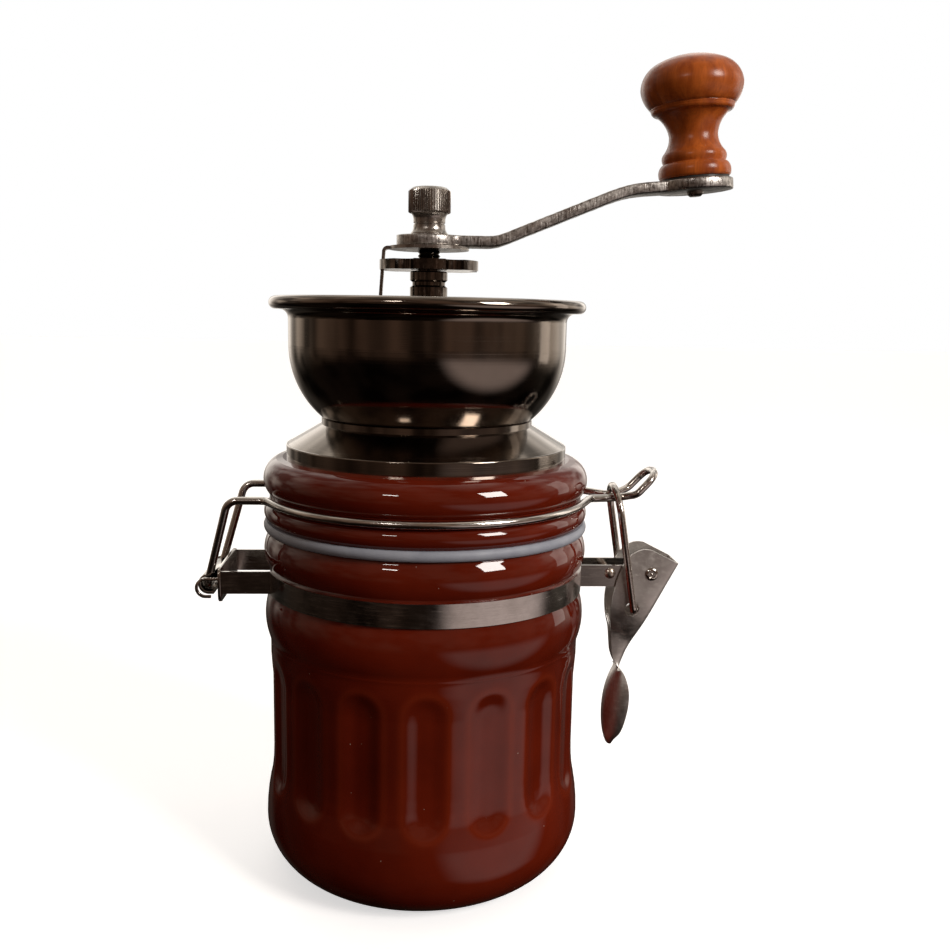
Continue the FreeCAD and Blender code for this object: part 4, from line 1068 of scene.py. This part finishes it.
def round_end(centre, radius, start, stop, count):
    """Stations crowded towards the edge of a round end."""
    turns = [start + (stop - start) * index / count for index in range(count + 1)]
    return [centre + radius * math.cos(math.radians(turn)) for turn in turns]


def bar_section(x):
    """One rounded rectangle across the bar, as points in millimetres."""
    half, thick, corner = arm_half_width(x), ARM_THICK / 2, ARM_CORNER
    corner_y = min(corner, half * 0.9)
    slope = math.atan(arm_slope(x))
    points = []
    for side_y, side_z, first in ((1, -1, -90), (1, 1, 0), (-1, 1, 90), (-1, -1, 180)):
        for turn in CORNER_TURNS:
            angle = math.radians(first + turn)
            y = side_y * (half - corner_y) + corner_y * math.cos(angle)
            lift = side_z * (thick - corner) + corner * math.sin(angle)
            points.append(Vector((x - lift * math.sin(slope), y, arm_height(x) + lift * math.cos(slope))))
    return points


print("arm height at the hub and the pad:", round(arm_height(0), 1), round(arm_height(PAD_X), 1))


# %% Crank arm
def make_crank_arm():
    """Joins the sections along the arm, closes both ends and turns every face outwards."""
    stations = round_end(0, HUB_RADIUS, 180, HUB_STOP, HUB_STATIONS)
    last = PAD_X - math.sqrt(PAD_RADIUS ** 2 - ARM_HALF ** 2)
    first = stations[-1]
    stations += [first + (last - first) * index / BAR_STATIONS for index in range(1, BAR_STATIONS)]
    stations += round_end(PAD_X, PAD_RADIUS, PAD_START, 0, PAD_STATIONS)
    verts = [point * mm for x in stations for point in bar_section(x)]
    faces = skin(len(stations), SECTION_POINTS, closed=True)
    faces.append(tuple(reversed(range(SECTION_POINTS))))
    faces.append(tuple(range(len(verts) - SECTION_POINTS, len(verts))))
    arm = mesh_object("bent_crank_arm", verts, faces, sharp=math.radians(50))
    facing = bmesh.new()
    facing.from_mesh(arm.data)
    bmesh.ops.recalc_face_normals(facing, faces=facing.faces)
    facing.to_mesh(arm.data)
    facing.free()
    dress(arm, rubbed_nickel)
    stand_for(arm, "crank", "antique_nickel", "crank_arm")


make_crank_arm()

# %% [markdown]
# ## The knob
#
# The knob is spindle turned: a mushroom head with a small bead under it, a waist, and a foot with
# a step. It leans five degrees with the end of the arm. It is turned upright on the lathe, then
# its mesh is tilted and moved, so that the object itself stays at the origin.

# %% Knob
KNOB_HEAD, KNOB_WAIST, KNOB_FOOT, KNOB_TALL = 15.5, 7.4, 11.0, 36.2
PAD_LEVEL = 217.5
WASHER_THICK, KNOB_PLAY = 0.6, 0.15
KNOB_LIFT = ARM_THICK / 2 + WASHER_THICK + KNOB_PLAY


def make_knob():
    """Turns the knob upright, then leans it and sets it on the pad."""
    outline = [
        (0, 0), (KNOB_FOOT - 0.6, 0), (KNOB_FOOT, 1.0, 1.2), (KNOB_FOOT - 0.2, 3.2, 4.0),
        (KNOB_FOOT - 1.1, 4.4, 3.0), (KNOB_FOOT - 1.5, 4.6), (KNOB_FOOT - 1.3, 5.2),
        (KNOB_FOOT - 1.6, 7.6, 2.6), (KNOB_WAIST, 12.8, -7.5), (KNOB_WAIST + 3.7, 19.2, -9.5),
        (KNOB_WAIST + 4.2, 19.3), (KNOB_WAIST + 5.2, 20.6, 1.4), (KNOB_WAIST + 5.35, 21.2, 1.0),
        (KNOB_WAIST + 5.6, 21.3), (KNOB_HEAD, 27.0, 9.0), (KNOB_HEAD - 4.5, 33.8, 8.0),
        (1.0, KNOB_TALL, 24.0), (0, KNOB_TALL),
    ]
    knob = turned("turned_knob", traced(outline), turns=128)
    tilt = Matrix.Rotation(-PAD_TILT, 4, "Y")
    foot = Matrix.Translation((PAD_X * mm, 0, PAD_LEVEL * mm))
    knob.data.transform(foot @ tilt @ Matrix.Translation((0, 0, KNOB_LIFT * mm)))
    dress(knob, knob_wood)
    stand_for(knob, "handle", "knob_wood", "knob")


make_knob()

# %% [markdown]
# ## The bail wire
#
# One bright wire makes the hinge, both legs, the ring round the lid and the open eye at the nose.
# A bent wire is easiest as a curve with a round bevel. Only the near half is described: its
# corners, and how far each one is rounded. The far half is its mirror image, so the two meet in
# the middle of the eye and in the hinge's knuckle.

# %% Wires
def rounded_line(corners, bends, steps=8):
    """Points along straight runs whose inner corners are rounded to these radii."""
    points = [corners[0]]
    for before, corner, after, bend in zip(corners, corners[1:], corners[2:], bends):
        back, ahead = (before - corner).normalized(), (after - corner).normalized()
        half = back.angle(ahead) / 2
        reach = bend / math.tan(half)
        centre = corner + (back + ahead).normalized() * bend / math.sin(half)
        first, last = corner + back * reach - centre, corner + ahead * reach - centre
        for step in range(steps + 1):
            points.append(centre + first.slerp(last, step / steps).normalized() * bend)
    return points + [corners[-1]]


def wire_object(name, points, radius, material):
    """A round wire along the points, which are in millimetres."""
    curve = bpy.data.curves.new(name, "CURVE")
    curve.dimensions = "3D"
    curve.bevel_depth = radius * mm
    curve.bevel_resolution = 4
    curve.use_fill_caps = True
    line = curve.splines.new("POLY")
    line.points.add(len(points) - 1)
    for spot, point in zip(line.points, points):
        spot.co = (*(point * mm), 1.0)
    drawn = placed(name + "_line", curve)
    bpy.context.view_layer.update()
    mesh = bpy.data.meshes.new_from_object(drawn.evaluated_get(bpy.context.evaluated_depsgraph_get()))
    bpy.data.objects.remove(drawn)
    mesh.name = name
    wire = shaded(placed(name, mesh), sharp=math.radians(50))
    dress(wire, material)
    return wire


# %% Bail wire
BAIL_LEVEL, BAIL_RING, BAIL_WIRE = 120.4, 50.4, 1.2
HINGE_X, HINGE_Z, LEG_HALF, SHOULDER_HALF = -67.3, 93.0, 11.7, 15.8
RING_STEPS = 60


def on_ring(angle):
    """The point of the ring round the lid at that angle."""
    return Vector((BAIL_RING * math.cos(angle), BAIL_RING * math.sin(angle), BAIL_LEVEL))


def ring_touch(corner, turn):
    """Where a straight run from the corner touches the ring round the lid."""
    angle = math.atan2(corner.y, corner.x) + turn * math.acos(BAIL_RING / math.hypot(corner.x, corner.y))
    return on_ring(angle), angle


def make_bail_wire():
    """Bends the near half, mirrors it and draws the wire along both."""
    left_kink = Vector((-48.6, -SHOULDER_HALF, BAIL_LEVEL))
    right_kink = Vector((51.4, -7.6, BAIL_LEVEL))
    left_touch, left_angle = ring_touch(left_kink, 1)
    right_touch, right_angle = ring_touch(right_kink, -1)
    legs = rounded_line([
        Vector((HINGE_X, -5.5, HINGE_Z)),
        Vector((HINGE_X, -LEG_HALF, HINGE_Z)),
        Vector((-59.9, -SHOULDER_HALF, BAIL_LEVEL)),
        left_kink,
        left_touch,
    ], [2.0, 4.0, 3.0])
    arc = [on_ring(left_angle + (right_angle - left_angle) * step / RING_STEPS)
           for step in range(1, RING_STEPS)]
    nose = rounded_line([
        right_touch,
        right_kink,
        Vector((60.2, -2.9, BAIL_LEVEL - 0.6)),
        Vector((66.6, -6.6, BAIL_LEVEL + 1.2)),
        Vector((72.4, -6.4, BAIL_LEVEL + 7.4)),
        Vector((73.0, 0, BAIL_LEVEL + 7.9)),
    ], [4.0, 5.0, 3.4, 4.6])
    near = legs + arc + nose
    far = [Vector((point.x, -point.y, point.z)) for point in reversed(near[:-1])]
    bail = wire_object("bent_bail_wire", near + far, BAIL_WIRE, bright_steel)
    stand_for(bail, "lid", "bright_steel", "bail_wire")


make_bail_wire()

# %% [markdown]
# ## The two rivets of the latch
#
# Each rivet is a turned piece with a head at both ends, laid down along Y. The tie rivet has
# plain domes. The lever's pivot was swaged with a hollow punch, so its head has a raised ring, a
# sunk middle with a small bead, and a star of little lugs, which are copies round the ring.

# %% Rivets
RIVET_Z, TIE_X, PIVOT_X = 95.6, 59.3, 72.6
LUG_HALF, LUG_REACH, LUG_CIRCLE, LUG_RISE, LUG_COUNT = 0.36, 0.30, 1.45, 0.6, 6


def laid_down(piece, x):
    """Turns an upright piece onto the Y axis at the rivets' height."""
    lay = Matrix.Translation((x * mm, 0, RIVET_Z * mm)) @ Matrix.Rotation(math.radians(90), 4, "X")
    piece.data.transform(lay)
    return piece


def make_tie_rivet():
    """A shank with a domed head at each end."""
    grip, shank, head, rise = 5.35, 1.0, 1.8, 0.95
    rivet = turned("domed_tie_rivet", traced([
        (0, -grip - rise), (head - 0.15, -grip - 0.35, 2.2), (head, -grip), (shank, -grip), (shank, grip),
        (head, grip), (head - 0.15, grip + 0.35), (0, grip + rise, 2.2),
    ]), turns=48)
    dress(rivet, rivet_tan)
    stand_for(laid_down(rivet, TIE_X), "root", "bright_steel", "band_tie_rivet")


def swaged_end(level, outwards):
    """The corners of one swaged head, from its rim to its middle."""
    return [(2.1, level), (2.1, level + 0.25 * outwards), (1.7, level + 0.6 * outwards),
            (1.25, level + 0.65 * outwards), (1.0, level + 0.2 * outwards), (0.6, level + 0.2 * outwards),
            (0.35, level + 0.5 * outwards), (0, level + 0.6 * outwards)]


def make_pivot_rivet():
    """A shank with a swaged head at each end, and a ring of lugs on each head."""
    grip, shank = 6.55, 1.2
    outline = list(reversed(swaged_end(-grip, -1))) + [(shank, -grip), (shank, grip)] + swaged_end(grip, 1)
    pin = turned("pivot_pin", traced(outline), turns=48)
    dress(pin, bright_steel)
    lugs = []
    for outwards in (1, -1):
        lug = turned("lug", traced([(0, -LUG_HALF), (LUG_REACH, 0), (0, LUG_HALF)]), turns=8)
        lug.data.transform(Matrix.Translation((LUG_CIRCLE * mm, 0, (grip + LUG_RISE) * outwards * mm)))
        run_tree(lug, RING, {"Count": LUG_COUNT, "First Turn": 0.0, "Material": bright_steel})
        lugs.append(lug)
    rivet = joined("swaged_pivot_rivet", [pin] + lugs)
    stand_for(laid_down(rivet, PIVOT_X), "root", "bright_steel", "lever_pivot_rivet")


make_tie_rivet()
make_pivot_rivet()

# %% [markdown]
# ## The hinge plate
#
# The plate's measured shape is right, but its corners were stamped round and its edges catch the
# light. So a copy of its mesh is merged, its flat faces are joined again, and a bevel rounds the
# four corners of the plate a lot and every other edge a little.

# %% Hinge plate
PLATE_CORNER, PLATE_EDGE = 2.6, 0.12
LONG_EDGE = 0.4
LEVEL_WITHIN = 1e-5


def plate_corner(edge):
    """True for the edges through the sheet, along X, at the plate's own four corners."""
    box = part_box("hinge_plate")
    one, two = (vertex.co for vertex in edge.verts)
    across = max(abs(one.y - two.y), abs(one.z - two.z)) < LEVEL_WITHIN
    long_enough = abs(one.x - two.x) > LONG_EDGE * mm
    at_end = min(abs(one.y - box[0].y), abs(one.y - box[1].y)) < LEVEL_WITHIN
    at_rim = min(abs(one.z - box[0].z), abs(one.z - box[1].z)) < LEVEL_WITHIN
    return across and long_enough and at_end and at_rim


def make_hinge_plate():
    """Rounds the plate's four corners, then softens all its edges."""
    shape = bmesh.new()
    shape.from_mesh(nodes["hinge_plate"].data)
    bmesh.ops.remove_doubles(shape, verts=shape.verts, dist=1e-6)
    bmesh.ops.dissolve_limit(
        shape, angle_limit=math.radians(1), verts=shape.verts, edges=shape.edges)
    corners = [edge for edge in shape.edges if plate_corner(edge)]
    print("rounded plate corners:", len(corners))
    bmesh.ops.bevel(
        shape, geom=corners, offset=PLATE_CORNER * mm, segments=6, profile=0.5, affect="EDGES")
    mesh = bpy.data.meshes.new("stamped_hinge_plate")
    shape.to_mesh(mesh)
    shape.free()
    plate = placed("stamped_hinge_plate", mesh)
    bevel = plate.modifiers.new("soft_edges", "BEVEL")
    bevel.width = PLATE_EDGE * mm
    bevel.segments = 2
    bevel.limit_method = "ANGLE"
    bevel.angle_limit = math.radians(50)
    bevel.use_clamp_overlap = True
    shaded(settled(plate), sharp=math.radians(45))
    dress(plate, bright_steel)
    stand_for(plate, "root", "bright_steel", "hinge_plate")


make_hinge_plate()

# %% [markdown]
# ## Finishes on the measured parts
#
# The remaining parts already have their right shape, so they only change their material. A
# part's finish comes from its slot in the record, except for the few that are nearly black.

# %% Dress the measured parts
FINISHES = {
    "brown_glaze": brown_glaze, "seal_rubber": seal_rubber, "dark_nickel": dark_nickel,
    "antique_nickel": antique_nickel, "bright_steel": bright_steel, "plain_steel": plain_steel,
    "burr_iron": burr_iron, "knob_wood": knob_wood, "dark_washer": dark_washer,
}
NEARLY_BLACK = ("bridge_bushing", "adjusting_nut", "shaft", "shaft_bridge")
for part in frame["record"]["subparts"]:
    dress(nodes[part["node"]], FINISHES[part["material_slot"]])
for name in NEARLY_BLACK:
    dress(nodes[name], black_nickel)
print("finishes in use:", len(FINISHES))

# %% [markdown]
# ## The floor
#
# A wide, plain, pale floor lies just under the jar's foot. Mirrors and bounced light leave it
# out, so that the dark glaze and the dark metal stay deep. It still takes their shadows.

# %% Floor
FLOOR_HALF = 6.0
floor = mesh_object("floor", [
    (-FLOOR_HALF, -FLOOR_HALF, 0), (FLOOR_HALF, -FLOOR_HALF, 0), (FLOOR_HALF, FLOOR_HALF, 0),
    (-FLOOR_HALF, FLOOR_HALF, 0)], [(0, 1, 2, 3)])
floor.visible_glossy = False
floor.visible_diffuse = False
dress(floor, floor_white)
print("floor width in metres:", 2 * FLOOR_HALF)
